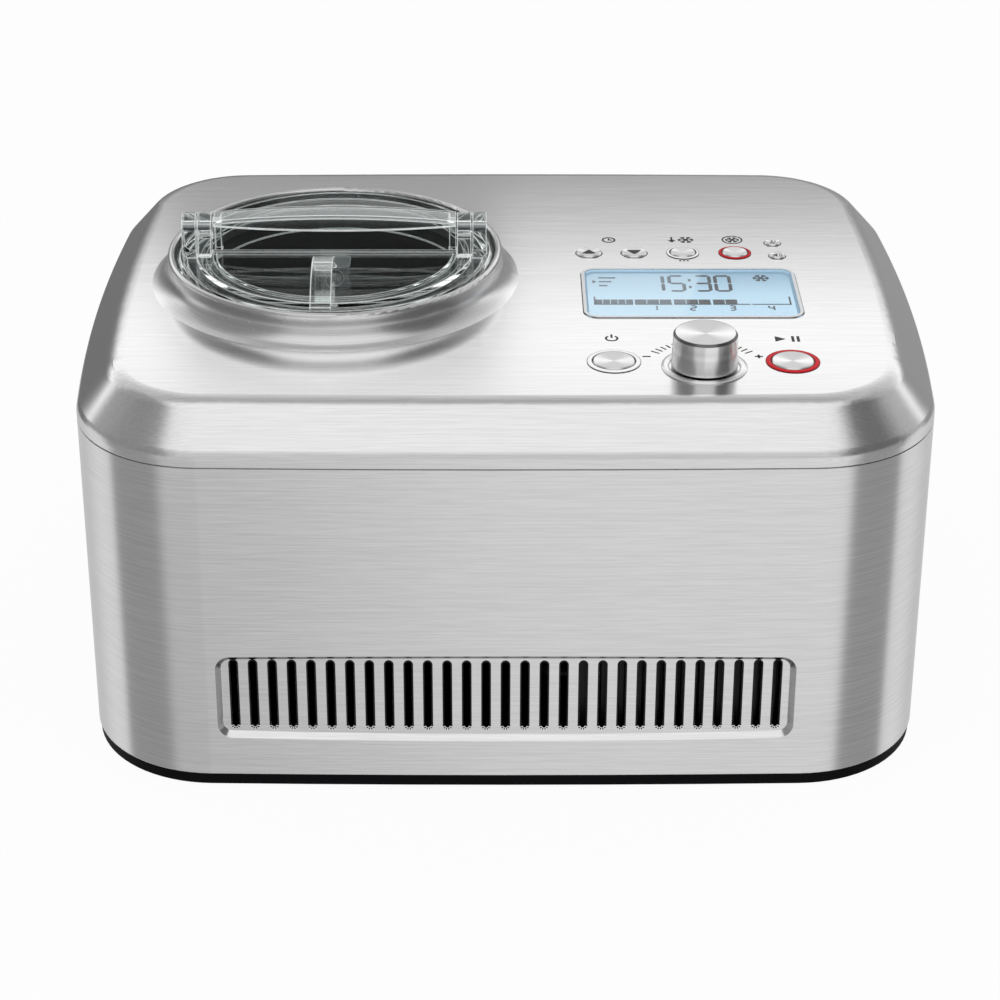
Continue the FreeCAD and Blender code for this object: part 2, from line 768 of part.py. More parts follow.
def vent_slot(i):
    """One upright slot with round ends."""
    x = (i - (SLOT_COUNT - 1) / 2) * SLOT_PITCH
    z = VENT_BOTTOM + VENT_HEIGHT / 2 + SLOT_RISE
    wire = rounded_wire(x, z, SLOT_WIDTH, SLOT_HEIGHT, SLOT_WIDTH / 2 - 0.01,
                        lambda a, b: V(a, -HALF_D - 1, b))
    return Part.Face(wire).extrude(V(0, FRONT_BOW + VENT_DEPTH + WRAP_WALL + 2, 0))


def body_wrap():
    """Brushed sheet around all four sides with the stamped intake and the rear window."""
    wrap = body_ring(0.0, WRAP_WALL, WRAP_Z, WRAP_TOP)
    pan = vent_frustum(WRAP_WALL).common(body_ring(0.0, VENT_DEPTH + WRAP_WALL, WRAP_Z, WRAP_TOP))
    hollow = vent_frustum(0.0).common(body_ring(-2.0, VENT_DEPTH, WRAP_Z, WRAP_TOP))
    wrap = wrap.fuse(pan).cut(hollow)
    wrap = wrap.cut(Part.makeCompound([vent_slot(i) for i in range(SLOT_COUNT)]))
    wrap = wrap.cut(grille_block(0.0))
    gland_hole = rod_along(V(0, -1, 0), V(GLAND_X, HALF_D + 1, GLAND_Z), HALF_D / 4, GLAND_RADIUS + FIT_GAP)
    return wrap.cut(gland_hole)


def grille_block(grow):
    """Block through the rear wall where the grille goes."""
    z = GRILLE_BOTTOM + GRILLE_HEIGHT / 2
    wire = rounded_wire(0.0, z, GRILLE_WIDTH + 2 * grow, GRILLE_HEIGHT + 2 * grow, GRILLE_CORNER,
                        lambda a, b: V(a, HALF_D + 1, b))
    return Part.Face(wire).extrude(V(0, -HALF_D / 4, 0))


def rear_grille():
    """Louvred panel seated behind the rear window, flush with the wrap."""
    lip = grille_block(GRILLE_LIP).common(body_ring(WRAP_WALL, WRAP_WALL + GRILLE_WALL, WRAP_Z, WRAP_TOP))
    plug = grille_block(-FIT_GAP).common(body_ring(0.0, WRAP_WALL + GRILLE_WALL, WRAP_Z, WRAP_TOP))
    panel = lip.fuse(plug).removeSplitter()
    pitch = (GRILLE_HEIGHT - LOUVRE_HEIGHT) / LOUVRE_COUNT
    for i in range(LOUVRE_COUNT):
        z = GRILLE_BOTTOM + LOUVRE_HEIGHT / 2 + (i + 0.5) * pitch
        wire = rounded_wire(0.0, z, GRILLE_WIDTH - LOUVRE_MARGIN, LOUVRE_HEIGHT, LOUVRE_HEIGHT / 2 - 0.01,
                            lambda a, b: V(a, HALF_D + 1, b))
        panel = panel.cut(Part.Face(wire).extrude(V(0, -HALF_D / 4, 0)))
    return panel


def cord_gland():
    """Bush through the rear wall that a supply cord would pass through."""
    wall = rear_wall_y(GLAND_X)
    inner = wall - WRAP_WALL - FIT_GAP
    barrel = rod_along(V(0, -1, 0), V(GLAND_X, wall - FIT_GAP, GLAND_Z), GLAND_LENGTH, GLAND_RADIUS)
    flange = rod_along(V(0, -1, 0), V(GLAND_X, inner, GLAND_Z), GLAND_FLANGE_WALL, GLAND_FLANGE)
    bore = rod_along(V(0, -1, 0), V(GLAND_X, wall + 1, GLAND_Z), GLAND_LENGTH + 2, GLAND_BORE)
    return barrel.fuse(flange).cut(bore).removeSplitter()


def rear_wall_y(x):
    """Depth of the rear wall's outside at a given place across."""
    return HALF_D - FRONT_R + math.sqrt(FRONT_R ** 2 - x ** 2)


def collar():
    """Flared ring around the bowl opening with a rolled rim and the ledge that carries the bowl."""
    roll = RIM_ROLL / 2
    top = RIM_Z - roll
    flare_mid = (RIM_RADIUS + FLARE_SHAPE[0] * (FLARE_RADIUS - RIM_RADIUS),
                 PLATE_Z + FLARE_SHAPE[1] * (top - PLATE_Z))
    steps = [
        (LEDGE_BORE, PLATE_UNDER),
        (FLARE_RADIUS, PLATE_UNDER),
        (FLARE_RADIUS, PLATE_Z),
        (flare_mid, (RIM_RADIUS, top)),
        ((RIM_RADIUS - roll, RIM_Z), (COLLAR_BORE, top)),
        (COLLAR_BORE, LEDGE_Z),
        (LEDGE_BORE, LEDGE_Z),
    ]
    return turned(steps, BOWL_X)


def shoulder_loft(wall, z0):
    """Band and sloped shoulder up to the plate, set in by a wall thickness."""
    lean = COVER_LEAN * wall
    knee = BAND_Z - lean
    low = body_outline(wall, CORNER_RADIUS - wall, knee)
    high = body_outline(PLATE_INSET + lean, PLATE_CORNER - lean, PLATE_Z - wall)
    band = body_solid(wall, z0, knee)
    return band.fuse(Part.makeLoft([low, high], True, True)).removeSplitter()


def soften(solid, level, radius):
    """Fillet on the outline edges that lie at one level."""
    edges = []
    for edge in solid.Edges:
        bounds = edge.BoundBox
        if abs(bounds.ZMin - level) < 1e-4 and abs(bounds.ZMax - level) < 1e-4:
            edges.append(edge)
    return solid.makeFillet(radius, edges)


def top_cover():
    """Pressed top with its sloped shoulder, collar, openings and screw bosses."""
    outer = shoulder_loft(0.0, SEAM_Z)
    outer = soften(outer, BAND_Z, SHOULDER_FILLET)
    outer = soften(outer, PLATE_Z, PLATE_FILLET)
    shell = outer.cut(shoulder_loft(COVER_WALL, SEAM_Z - 1))
    skirt_out = WRAP_WALL + FIT_GAP
    skirt = body_ring(skirt_out, skirt_out + SKIRT_WALL, SEAM_Z - SKIRT_DROP, SEAM_Z + BAND_HEIGHT / 2)
    shell = shell.fuse(skirt)
    for x, y in CORNER_POSTS:
        boss = rod(x, y, POST_TOP, PLATE_Z, CORNER_POST).common(shoulder_loft(COVER_WALL / 2, POST_TOP - 1))
        shell = shell.fuse(boss.cut(rod(x, y, POST_TOP - 1, POST_TOP + SCREW_GRIP, SCREW_SHANK + PRESS_GAP)))
    shell = shell.cut(rod(BOWL_X, 0, PLATE_UNDER - 1, PLATE_Z + 1, FLARE_RADIUS - FIT_GAP))
    shell = shell.fuse(collar())
    for x, y, radius in panel_holes():
        shell = shell.cut(rod(x, y, PLATE_UNDER - 1, PLATE_Z + 1, radius))
    x, y = DISPLAY_PLACE
    display = rounded_block(x, y, DISPLAY_WIDTH + 2 * FIT_GAP, DISPLAY_DEPTH + 2 * FIT_GAP,
                            DISPLAY_CORNER, PLATE_UNDER - 1, PLATE_Z + 1)
    return shell.cut(display).removeSplitter()


# Control panel



def on_panel(offset, radius):
    """Place and radius of a button from its offset."""
    return PANEL_X + offset[0], offset[1] - HALF_D, radius


BUTTONS = {
    "power_button": on_panel(POWER_OFFSET, BIG_BUTTON),
    "start_button": on_panel(START_OFFSET, BIG_BUTTON),
    "precool_button": on_panel(PRECOOL_OFFSET, MID_BUTTON),
    "keep_cold_button": on_panel(KEEP_COLD_OFFSET, MID_BUTTON),
    "timer_up_button": on_panel(TIMER_UP_OFFSET, TIMER_BUTTON),
    "timer_down_button": on_panel(TIMER_DOWN_OFFSET, TIMER_BUTTON),
    "units_button": on_panel(UNITS_OFFSET, SMALL_BUTTON),
    "sound_button": on_panel(SOUND_OFFSET, SMALL_BUTTON),
}

RINGS = {
    "power_ring": ("power_button", BIG_RING_WALL),
    "start_ring": ("start_button", BIG_RING_WALL),
    "precool_ring": ("precool_button", MID_RING_WALL),
    "keep_cold_ring": ("keep_cold_button", MID_RING_WALL),
}


def panel_holes():
    """Centres and radii of the round openings in the plate."""
    ringed = {button for button, wall in RINGS.values()}
    holes = []
    for name, (x, y, radius) in BUTTONS.items():
        spigot = RING_SPIGOT if name in ringed else 0.0
        holes.append((x, y, radius + BUTTON_GAP + spigot))
    holes.append(DIAL_PLACE + (ENCODER_NECK + FIT_GAP,))
    return holes


def button(name):
    """Cap with a dished top, stem and retaining clip."""
    x, y, radius = BUTTONS[name]
    top = PLATE_Z + BUTTON_PROUD
    clip_top = BRACKET_Z - BUTTON_GAP
    steps = [
        (0.0, STEM_END),
        (BUTTON_STEM, STEM_END),
        (BUTTON_STEM, clip_top - CLIP_WALL),
        (BUTTON_CLIP, clip_top - CLIP_WALL),
        (BUTTON_CLIP, clip_top),
        (BUTTON_STEM, clip_top),
        (BUTTON_STEM, CAP_Z),
        (radius, CAP_Z),
        (radius, top - BUTTON_SEAT),
        (radius - BUTTON_SEAT, top),
        dish(radius - BUTTON_SEAT, top, BUTTON_DISH),
    ]
    return turned(steps, x, y)


def button_ring(name):
    """Raised ring around a button, with a spigot through the plate."""
    button_name, wall = RINGS[name]
    x, y, radius = BUTTONS[button_name]
    bore = radius + BUTTON_GAP
    top = PLATE_Z + RING_PROUD
    steps = [
        (bore, PLATE_UNDER),
        (bore + RING_SPIGOT, PLATE_UNDER),
        (bore + RING_SPIGOT, PLATE_Z),
        (bore + wall, PLATE_Z),
        (bore + wall, PLATE_Z + RING_PROUD / 2),
        (bore + wall / 2, top),
        (bore, top),
    ]
    return turned(steps, x, y)


def dial_ring():
    """Base ring that the dial stands in."""
    bore = DIAL_RING - DIAL_RING_WALL
    top = PLATE_Z + DIAL_RING_PROUD
    steps = [
        (bore, PLATE_Z),
        (DIAL_RING, PLATE_Z),
        (DIAL_RING, PLATE_Z + DIAL_RING_PROUD / 2),
        (DIAL_RING - DIAL_RING_WALL / 3, top),
        (bore + DIAL_RING_WALL / 5, top),
        (bore, top - DIAL_RING_PROUD / 3),
    ]
    return turned(steps, DIAL_PLACE[0], DIAL_PLACE[1])


def dial_knob():
    """Turned knob with a bevelled, dished top and a socket for the encoder shaft."""
    bottom = PLATE_Z + DIAL_RISE
    top = bottom + DIAL_HEIGHT
    steps = [
        (DIAL_SHAFT + PRESS_GAP, bottom),
        (DIAL_RADIUS, bottom),
        (DIAL_SHOULDER, top - DIAL_TOP_BEVEL),
        (DIAL_TOP, top),
        dish(DIAL_TOP, top, DIAL_DISH),
        (0.0, top - DIAL_ROOF),
        (DIAL_SHAFT + PRESS_GAP, top - DIAL_ROOF),
    ]
    return turned(steps, DIAL_PLACE[0], DIAL_PLACE[1])


def dial_shaft():
    """Encoder shaft, pressed into the knob."""
    top = PLATE_Z + DIAL_RISE + DIAL_HEIGHT - DIAL_ROOF
    x, y = DIAL_PLACE
    return rod(x, y, top - DIAL_SHAFT_LENGTH, top, DIAL_SHAFT)


def encoder():
    """Rotary encoder body with its threaded neck, open for the shaft."""
    x, y = DIAL_PLACE
    half = ENCODER_SIZE / 2
    body = box(x - half, x + half, y - half, y + half, BOARD_TOP, BOARD_TOP + ENCODER_HEIGHT)
    neck = rod(x, y, BOARD_TOP, PLATE_Z, ENCODER_NECK)
    top = PLATE_Z + DIAL_RISE + DIAL_HEIGHT - DIAL_ROOF
    bore = rod(x, y, top - DIAL_SHAFT_LENGTH - FIT_GAP, PLATE_Z + 1, DIAL_SHAFT + RUNNING_FIT)
    return body.fuse(neck).cut(bore).removeSplitter()


def display_bezel():
    """Thin frame around the display window."""
    x, y = DISPLAY_PLACE
    top = PLATE_Z + BEZEL_PROUD
    outer = rounded_block(x, y, DISPLAY_WIDTH, DISPLAY_DEPTH, DISPLAY_CORNER, PLATE_UNDER, top)
    return outer.cut(display_opening(0.0, PLATE_UNDER - 1, top + 1))


def display_opening(gap, z0, z1):
    """Clear opening inside the bezel, less a gap."""
    x, y = DISPLAY_PLACE
    width = DISPLAY_WIDTH - 2 * (BEZEL_WALL + gap)
    depth = DISPLAY_DEPTH - 2 * (BEZEL_WALL + gap)
    return rounded_block(x, y, width, depth, DISPLAY_CORNER - BEZEL_WALL, z0, z1)


def display_window():
    """Clear window that lies on the bracket inside the bezel."""
    return display_opening(FIT_GAP / 3, PLATE_UNDER, PLATE_Z + WINDOW_PROUD)


def display_module():
    """Backlit display hung under the bracket, with its raised glass in the bracket's opening."""
    x, y = DISPLAY_PLACE
    less = 2 * (BEZEL_WALL + BRACKET_LEDGE)
    body = box(x - DISPLAY_WIDTH / 2 + MODULE_LEDGE, x + DISPLAY_WIDTH / 2 - MODULE_LEDGE,
               y - DISPLAY_DEPTH / 2 + MODULE_LEDGE, y + DISPLAY_DEPTH / 2 - MODULE_LEDGE,
               BRACKET_Z - MODULE_HEIGHT, BRACKET_Z)
    glass = rounded_block(x, y, DISPLAY_WIDTH - less - FIT_GAP, DISPLAY_DEPTH - less - FIT_GAP,
                          GLASS_CORNER, BRACKET_Z, PLATE_UNDER - FIT_GAP)
    return body.fuse(glass).removeSplitter()


def board_corners():
    """Centres of the posts between bracket and control board."""
    xs = (BRACKET_LEFT + BOARD_POST_INSET, BRACKET_RIGHT - BOARD_POST_INSET)
    ys = (BRACKET_FRONT + BOARD_POST_INSET, BRACKET_BACK - BOARD_POST_INSET)
    return [(x, y) for x in xs for y in ys]


def panel_bracket():
    """Carrier under the plate that guides the stems and holds the display and the board."""
    width = BRACKET_RIGHT - BRACKET_LEFT
    depth = BRACKET_BACK - BRACKET_FRONT
    x = (BRACKET_LEFT + BRACKET_RIGHT) / 2
    y = (BRACKET_FRONT + BRACKET_BACK) / 2
    plate = rounded_block(x, y, width, depth, BRACKET_CORNER, BRACKET_Z, PLATE_UNDER)
    for px, py in board_corners():
        post = tube(px, py, BOARD_TOP, BRACKET_Z, BOARD_POST, SCREW_SHANK + PRESS_GAP)
        plate = plate.fuse(post)
    for bx, by, radius in BUTTONS.values():
        plate = plate.cut(rod(bx, by, BRACKET_Z - 1, PLATE_UNDER + 1, BUTTON_STEM + BUTTON_GAP))
    dial_x, dial_y = DIAL_PLACE
    plate = plate.cut(rod(dial_x, dial_y, BRACKET_Z - 1, PLATE_UNDER + 1, ENCODER_NECK + FIT_GAP))
    less = 2 * (BEZEL_WALL + BRACKET_LEDGE)
    opening = rounded_block(DISPLAY_PLACE[0], DISPLAY_PLACE[1], DISPLAY_WIDTH - less, DISPLAY_DEPTH - less,
                            GLASS_CORNER, BRACKET_Z - 1, PLATE_UNDER + 1)
    return plate.cut(opening)


def control_board():
    """Circuit board below the panel."""
    board = box(BRACKET_LEFT, BRACKET_RIGHT, BRACKET_FRONT, BRACKET_BACK, BOARD_TOP - BOARD_WALL, BOARD_TOP)
    for x, y in board_corners():
        board = board.cut(rod(x, y, BOARD_TOP - BOARD_WALL - 1, BOARD_TOP + 1, SCREW_SHANK + PRESS_GAP))
    return board


def tact_switches():
    """One push switch under each button stem."""
    switches = []
    half = SWITCH_SIZE / 2
    for x, y, radius in BUTTONS.values():
        body = box(x - half, x + half, y - half, y + half, BOARD_TOP, BOARD_TOP + SWITCH_HEIGHT / 2)
        plunger = rod(x, y, BOARD_TOP + SWITCH_HEIGHT / 2, SWITCH_TOP, SWITCH_PLUNGER)
        switches.append(body.fuse(plunger))
    return Part.makeCompound(switches)


# Bowl, dasher and lid


def evaporator_tub():
    """Aluminium cup that chills the bowl, with a lip under the collar."""
    floor = TUB_Z + TUB_WALL
    steps = [
        (SHAFT_BUSH + PRESS_GAP, TUB_Z),
        (TUB_OUTER, TUB_Z),
        (TUB_OUTER, TUB_TOP - TUB_WALL),
        (TUB_LIP, TUB_TOP - TUB_WALL),
        (TUB_LIP, TUB_TOP),
        (TUB_INNER, TUB_TOP),
        (TUB_INNER, floor),
        (SHAFT_BUSH + PRESS_GAP, floor),
    ]
    return turned(steps, BOWL_X)


def tub_seal():
    """Soft ring between the tub's lip and the collar."""
    return tube(BOWL_X, 0, TUB_TOP, PLATE_UNDER, TUB_LIP, TUB_LIP - SEAL_WIDTH)


def evaporator_coil():
    """Coolant tube wound around the tub, one biarc for each half turn."""
    z0 = TUB_Z + COIL_START
    slope = COIL_PITCH / (2 * math.pi)

    def place(a):
        return V(BOWL_X + COIL_RADIUS * math.cos(a), COIL_RADIUS * math.sin(a), z0 + slope * a)

    def heading(a):
        way = V(-COIL_RADIUS * math.sin(a), COIL_RADIUS * math.cos(a), slope)
        way.normalize()
        return way

    edges = []
    for i in range(2 * COIL_TURNS):
        a = i * math.pi
        edges += biarc(place(a), heading(a), place(a + math.pi), heading(a + math.pi))
    print("evaporator coil gap between turns", round(COIL_PITCH - 2 * COIL_TUBE, 3))
    return swept_tube(Part.Wire(edges), COIL_TUBE)


def foam_jacket():
    """Insulation around the coil, cut for the pipes that enter it and clear of the control board."""
    jacket = tube(BOWL_X, 0, GEARBOX_TOP, FOAM_TOP, FOAM_OUTER, SHAFT_BUSH + PRESS_GAP)
    jacket = jacket.cut(rod(BOWL_X, 0, TUB_Z, FOAM_TOP + 1, FOAM_INNER))
    low = BOARD_TOP - BOARD_WALL - SCREW_HEAD_HEIGHT - FOAM_BOARD_GAP
    room = box(BRACKET_LEFT - FOAM_BOARD_GAP, BRACKET_RIGHT, BRACKET_FRONT - FOAM_BOARD_GAP,
               BRACKET_BACK + FOAM_BOARD_GAP, low, FOAM_TOP + 1)
    return jacket.cut(room).cut(suction_pipe()).cut(capillary())


def shaft_bush():
    """Bearing bush for the drive shaft through insulation and tub."""
    top = TUB_Z + TUB_WALL
    return tube(BOWL_X, 0, GEARBOX_TOP, top, SHAFT_BUSH, SHAFT_RADIUS + RUNNING_FIT)


def ice_bowl():
    """Lift-out bowl with a flange, rounded floor and a central spindle tube."""
    outer = BOWL_INNER + BOWL_WALL
    big = BOWL_CORNER + BOWL_WALL
    k = 1 - math.sqrt(0.5)
    steps = [
        (SPINDLE_BORE, BOWL_Z),
        (outer - big, BOWL_Z),
        ((outer - k * big, BOWL_Z + k * big), (outer, BOWL_Z + big)),
        (outer, FLANGE_Z),
        (BOWL_FLANGE, FLANGE_Z),
        (BOWL_FLANGE, FLANGE_TOP),
        (BOWL_INNER, FLANGE_TOP),
        (BOWL_INNER, BOWL_FLOOR + BOWL_CORNER),
        ((BOWL_INNER - k * BOWL_CORNER, BOWL_FLOOR + k * BOWL_CORNER),
         (BOWL_INNER - BOWL_CORNER, BOWL_FLOOR)),
        (SPINDLE_OUTER, BOWL_FLOOR),
        (SPINDLE_OUTER, SPINDLE_TOP),
        (SPINDLE_BORE, SPINDLE_TOP),
    ]
    return turned(steps, BOWL_X)


def dasher_blade(side):
    """One lattice blade with a slanted scraper edge, to the left or right of the hub."""
    inner = SPINDLE_OUTER + HUB_GAP + HUB_WALL / 2
    reach = BOWL_INNER - BLADE_GAP - SCRAPER_WIDTH / 2
    low = BOWL_FLOOR + HUB_GAP
    high = FLANGE_Z - BLADE_TOP_DROP
    corner = BLADE_RIM
    half = BLADE_WALL / 2
    steps = [
        (inner, low),
        (reach - corner, low),
        ((reach - corner * (1 - math.sqrt(0.5)), low + corner * (1 - math.sqrt(0.5))), (reach, low + corner)),
        (reach, high),
        (reach - BLADE_RIM, high),
        ((reach * BLADE_SWEEP, high - 3 * BLADE_RIM), (POST_RADIUS - HUB_GAP, high - 4 * BLADE_RIM)),
        (POST_RADIUS - HUB_GAP, SHAFT_TOP + HUB_ROOF),
        (inner, SHAFT_TOP),
    ]
    blade = profile_face(steps, lambda r, z: V(BOWL_X + side * r, -half, z)).extrude(V(0, BLADE_WALL, 0))
    gap_high = high - 5 * BLADE_RIM
    gap_low = low + BLADE_RIM
    step = (gap_high - gap_low) / BLADE_BARS
    gap_inner = inner + BLADE_RIM / 2
    gap_width = reach - BLADE_RIM - gap_inner
    for i in range(BLADE_BARS):
        z = gap_low + (i + 0.5) * step
        x = side * (gap_inner + gap_width / 2)
        wire = rounded_wire(x, z, gap_width, step - BLADE_RIM / 2, BLADE_RIM / 4,
                            lambda a, b: V(BOWL_X + a, -half - 1, b))
        blade = blade.cut(Part.Face(wire).extrude(V(0, BLADE_WALL + 2, 0)))
    edge = box(-SCRAPER_WIDTH / 2, SCRAPER_WIDTH / 2, -SCRAPER_WALL / 2, SCRAPER_WALL / 2, low + corner, high)
    edge.rotate(V(0, 0, 0), V(0, 0, 1), SCRAPER_ANGLE)
    edge.translate(V(BOWL_X + side * reach, 0, 0))
    return blade.fuse(edge)


def dasher():
    """Paddle that stands over the spindle and is turned by the square shaft end."""
    hub_bore = SPINDLE_OUTER + HUB_GAP
    hub = hub_bore + HUB_WALL
    low = BOWL_FLOOR + HUB_GAP
    socket_z = SPINDLE_TOP + REST_GAP
    roof = SHAFT_TOP + HUB_ROOF
    post_top = FLANGE_Z - POST_TOP_DROP
    steps = [
        (0.0, socket_z),
        (hub_bore, socket_z),
        (hub_bore, low),
        (hub, low),
        (hub, socket_z + HUB_ROOF),
        (POST_RADIUS + HUB_ROOF, roof),
        (POST_RADIUS, roof + 2 * HUB_ROOF),
        (POST_RADIUS, post_top),
        (0.0, post_top),
    ]
    body = turned(steps, BOWL_X)
    body = body.fuse(dasher_blade(1)).fuse(dasher_blade(-1))
    handle_top = post_top + HANDLE_HEIGHT
    handle = rounded_block(BOWL_X, 0, HANDLE_SIZE, HANDLE_SIZE, HANDLE_CORNER, post_top, handle_top)
    eye_start = V(BOWL_X, -HANDLE_SIZE / 2 - 1, post_top + HANDLE_HEIGHT / 2)
    eye = rod_along(V(0, 1, 0), eye_start, HANDLE_SIZE + 2, HANDLE_BORE)
    body = body.fuse(handle.cut(eye))
    reach = SHAFT_SQUARE / 2 + SOCKET_GAP
    socket = box(BOWL_X - reach, BOWL_X + reach, -reach, reach, socket_z - 1, SHAFT_TOP + REST_GAP)
    body = body.cut(socket).cut(rod(BOWL_X, 0, low - 1, socket_z, hub_bore))
    return body.removeSplitter()


def lid_body():
    """Clear lid: skirt, border, closed rear half, grip ridge and hinge lugs."""
    plate_z = LID_TOP - LID_PLATE
    edge_top = LID_TOP + LID_EDGE_RISE
    steps = [
        (LID_RADIUS - LID_SKIRT_WALL, LID_Z),
        (LID_RADIUS, LID_Z),
        (LID_RADIUS, edge_top - LID_EDGE_WIDTH / 2),
        (LID_RADIUS - LID_EDGE_WIDTH / 2, edge_top),
        (LID_RADIUS - LID_EDGE_WIDTH, edge_top),
        (LID_RADIUS - LID_EDGE_WIDTH - LID_EDGE_RISE, LID_TOP),
        (LID_OPENING, LID_TOP),
        (LID_OPENING, plate_z),
        (LID_LIP - LID_LIP_WALL, plate_z),
        (LID_LIP - LID_LIP_WALL, LID_Z - LID_LIP_DROP),
        (LID_LIP, LID_Z - LID_LIP_DROP),
        (LID_LIP, plate_z),
        (LID_RADIUS - LID_SKIRT_WALL, plate_z),
    ]
    ring = turned(steps, BOWL_X)
    rear = rod(BOWL_X, 0, plate_z, LID_TOP, LID_OPENING + LID_PLATE)
    rear = rear.cut(box(BOWL_X - LID_RADIUS, BOWL_X + LID_RADIUS, -LID_RADIUS, 0.0, plate_z - 1, LID_TOP + 1))
    lugs = []
    for side in (-1, 1):
        start = V(BOWL_X + side * LUG_INNER, 0, HINGE_Z)
        barrel = rod_along(V(side, 0, 0), start, LUG_WIDTH, LUG_HALF)
        x0 = min(start.x, start.x + side * LUG_WIDTH)
        lugs.append(barrel.fuse(box(x0, x0 + LUG_WIDTH, -LUG_HALF, LUG_HALF, plate_z, HINGE_Z)))
    body = fuse([ring, rear, lid_ridge()] + lugs)
    return body.cut(flap_pin_rods(PRESS_GAP)).removeSplitter()


def lid_ridge():
    """Grip bar across the lid: a bowed front wall and an arched roof on two short legs."""
    foot = LID_TOP - LID_PLATE / 2
    low = LID_TOP + RIDGE_END_LOW
    high = LID_TOP + RIDGE_END_HIGH
    top = [(-RIDGE_HALF, high), ((0.0, high + RIDGE_CROWN), (RIDGE_HALF, high))]
    front_steps = top + [(RIDGE_HALF, low), ((0.0, low - RIDGE_BELLY), (-RIDGE_HALF, low))]
    roof_steps = top + [
        (RIDGE_HALF, high - RIDGE_WALL),
        ((0.0, high + RIDGE_CROWN - RIDGE_WALL), (-RIDGE_HALF, high - RIDGE_WALL)),
    ]

    def plane(a, z):
        return V(BOWL_X + a, -RIDGE_FRONT, z)

    front = profile_face(front_steps, plane).extrude(V(0, RIDGE_WALL, 0))
    roof = profile_face(roof_steps, plane).extrude(V(0, RIDGE_DEPTH, 0))
    back = RIDGE_DEPTH - RIDGE_FRONT
    pieces = [front, roof]
    for side in (-1, 1):
        edge = BOWL_X + side * RIDGE_HALF
        x0 = min(edge, edge - side * RIDGE_LEG_WIDTH)
        leg_top = high - RIDGE_WALL / 2
        pieces.append(box(x0, x0 + RIDGE_LEG_WIDTH, back - RIDGE_LEG_DEPTH, back, foot, leg_top))
    return fuse(pieces)


def flap_pin_rods(grow):
    """Hinge pins through lug and arm on both sides."""
    pins = []
    for side in (-1, 1):
        start = V(BOWL_X + side * ARM_INNER, 0, HINGE_Z)
        pins.append(rod_along(V(side, 0, 0), start, LUG_INNER + LUG_WIDTH - ARM_INNER, PIN_RADIUS + grow))
    return Part.makeCompound(pins)


def flap_strap():
    """Arched finger strap on the flap, with a tab that reaches past the flap's edge."""
    span = (STRAP_FRONT - STRAP_BACK) / 2
    middle = -(STRAP_FRONT + STRAP_BACK) / 2
    foot = FLAP_TOP - FLAP_PLATE / 2
    steps = [
        (middle - span, foot),
        ((middle, foot + STRAP_RISE), (middle + span, foot)),
        (middle + span - STRAP_WALL, foot),
        ((middle, foot + STRAP_RISE - STRAP_WALL), (middle - span + STRAP_WALL, foot)),
    ]
    left = BOWL_X + STRAP_OFFSET - STRAP_WIDTH / 2
    face = profile_face(steps, lambda y, z: V(left, y, z))
    tab = box(left, left + STRAP_WIDTH, -STRAP_FRONT, STRAP_TAB_BITE - FLAP_RADIUS, foot, FLAP_TOP)
    return face.extrude(V(STRAP_WIDTH, 0, 0)).fuse(tab)


def lid_flap():
    """Clear half-round flap over the filling opening, with hinge arms and a finger strap."""
    keep = box(BOWL_X - FLARE_RADIUS, BOWL_X + FLARE_RADIUS, -FLARE_RADIUS, -FLAP_BACK, LID_Z, HINGE_Z)
    plate = rod(BOWL_X, 0, FLAP_Z, FLAP_TOP, FLAP_RADIUS).common(keep)
    plug_keep = box(BOWL_X - FLARE_RADIUS, BOWL_X + FLARE_RADIUS, -FLARE_RADIUS, -FLAP_BACK - FLAP_PLUG_GAP,
                    LID_Z, HINGE_Z)
    plug = rod(BOWL_X, 0, FLAP_Z - FLAP_PLUG_DEPTH, FLAP_Z, LID_OPENING - FLAP_PLUG_GAP).common(plug_keep)
    arm_width = LUG_INNER - ARM_GAP - ARM_INNER
    pieces = [plate, plug, flap_strap()]
    for side in (-1, 1):
        x = BOWL_X + side * (ARM_INNER + arm_width / 2)
        steps = [
            (-LUG_HALF, HINGE_Z),
            ((0.0, HINGE_Z + LUG_HALF), (LUG_HALF, HINGE_Z)),
            ((LUG_HALF * math.sqrt(0.5), HINGE_Z - LUG_HALF * math.sqrt(0.5)), (0.0, HINGE_Z - LUG_HALF)),
            (-FLAP_BACK, FLAP_Z),
            (-ARM_FOOT, FLAP_Z),
            (-ARM_FOOT, FLAP_TOP),
        ]
        face = profile_face(steps, lambda y, z, px=x: V(px - arm_width / 2, y, z))
        pieces.append(face.extrude(V(arm_width, 0, 0)))
    flap = fuse(pieces)
    for side in (-1, 1):
        edge = BOWL_X + side * (LUG_INNER - ARM_GAP)
        x0 = min(edge, edge + side * FLAP_RADIUS)
        front = -LUG_HALF - LUG_ROOM
        flap = flap.cut(box(x0, x0 + FLAP_RADIUS, front, LUG_HALF, FLAP_Z - 1, FLAP_TOP + 1))
    return flap.cut(flap_pin_rods(RUNNING_FIT)).removeSplitter()


# Gear drive


def gearbox_block(z0, z1, inset):
    """Gearbox outline between two levels, set in by a wall."""
    width = GEARBOX_LEFT + GEARBOX_RIGHT - 2 * inset
    x = BOWL_X + (GEARBOX_RIGHT - GEARBOX_LEFT) / 2
    depth = 2 * (GEARBOX_HALF_DEPTH - inset)
    return rounded_block(x, 0, width, depth, GEARBOX_CORNER - inset, z0, z1)


def gearbox_screw_places():
    """Centres of the posts and screws at the gearbox corners."""
    xs = (BOWL_X - GEARBOX_LEFT + GEARBOX_SCREW_INSET, BOWL_X + GEARBOX_RIGHT - GEARBOX_SCREW_INSET)
    y = GEARBOX_HALF_DEPTH - GEARBOX_SCREW_INSET
    return [(x, sy * y) for x in xs for sy in (-1, 1)]


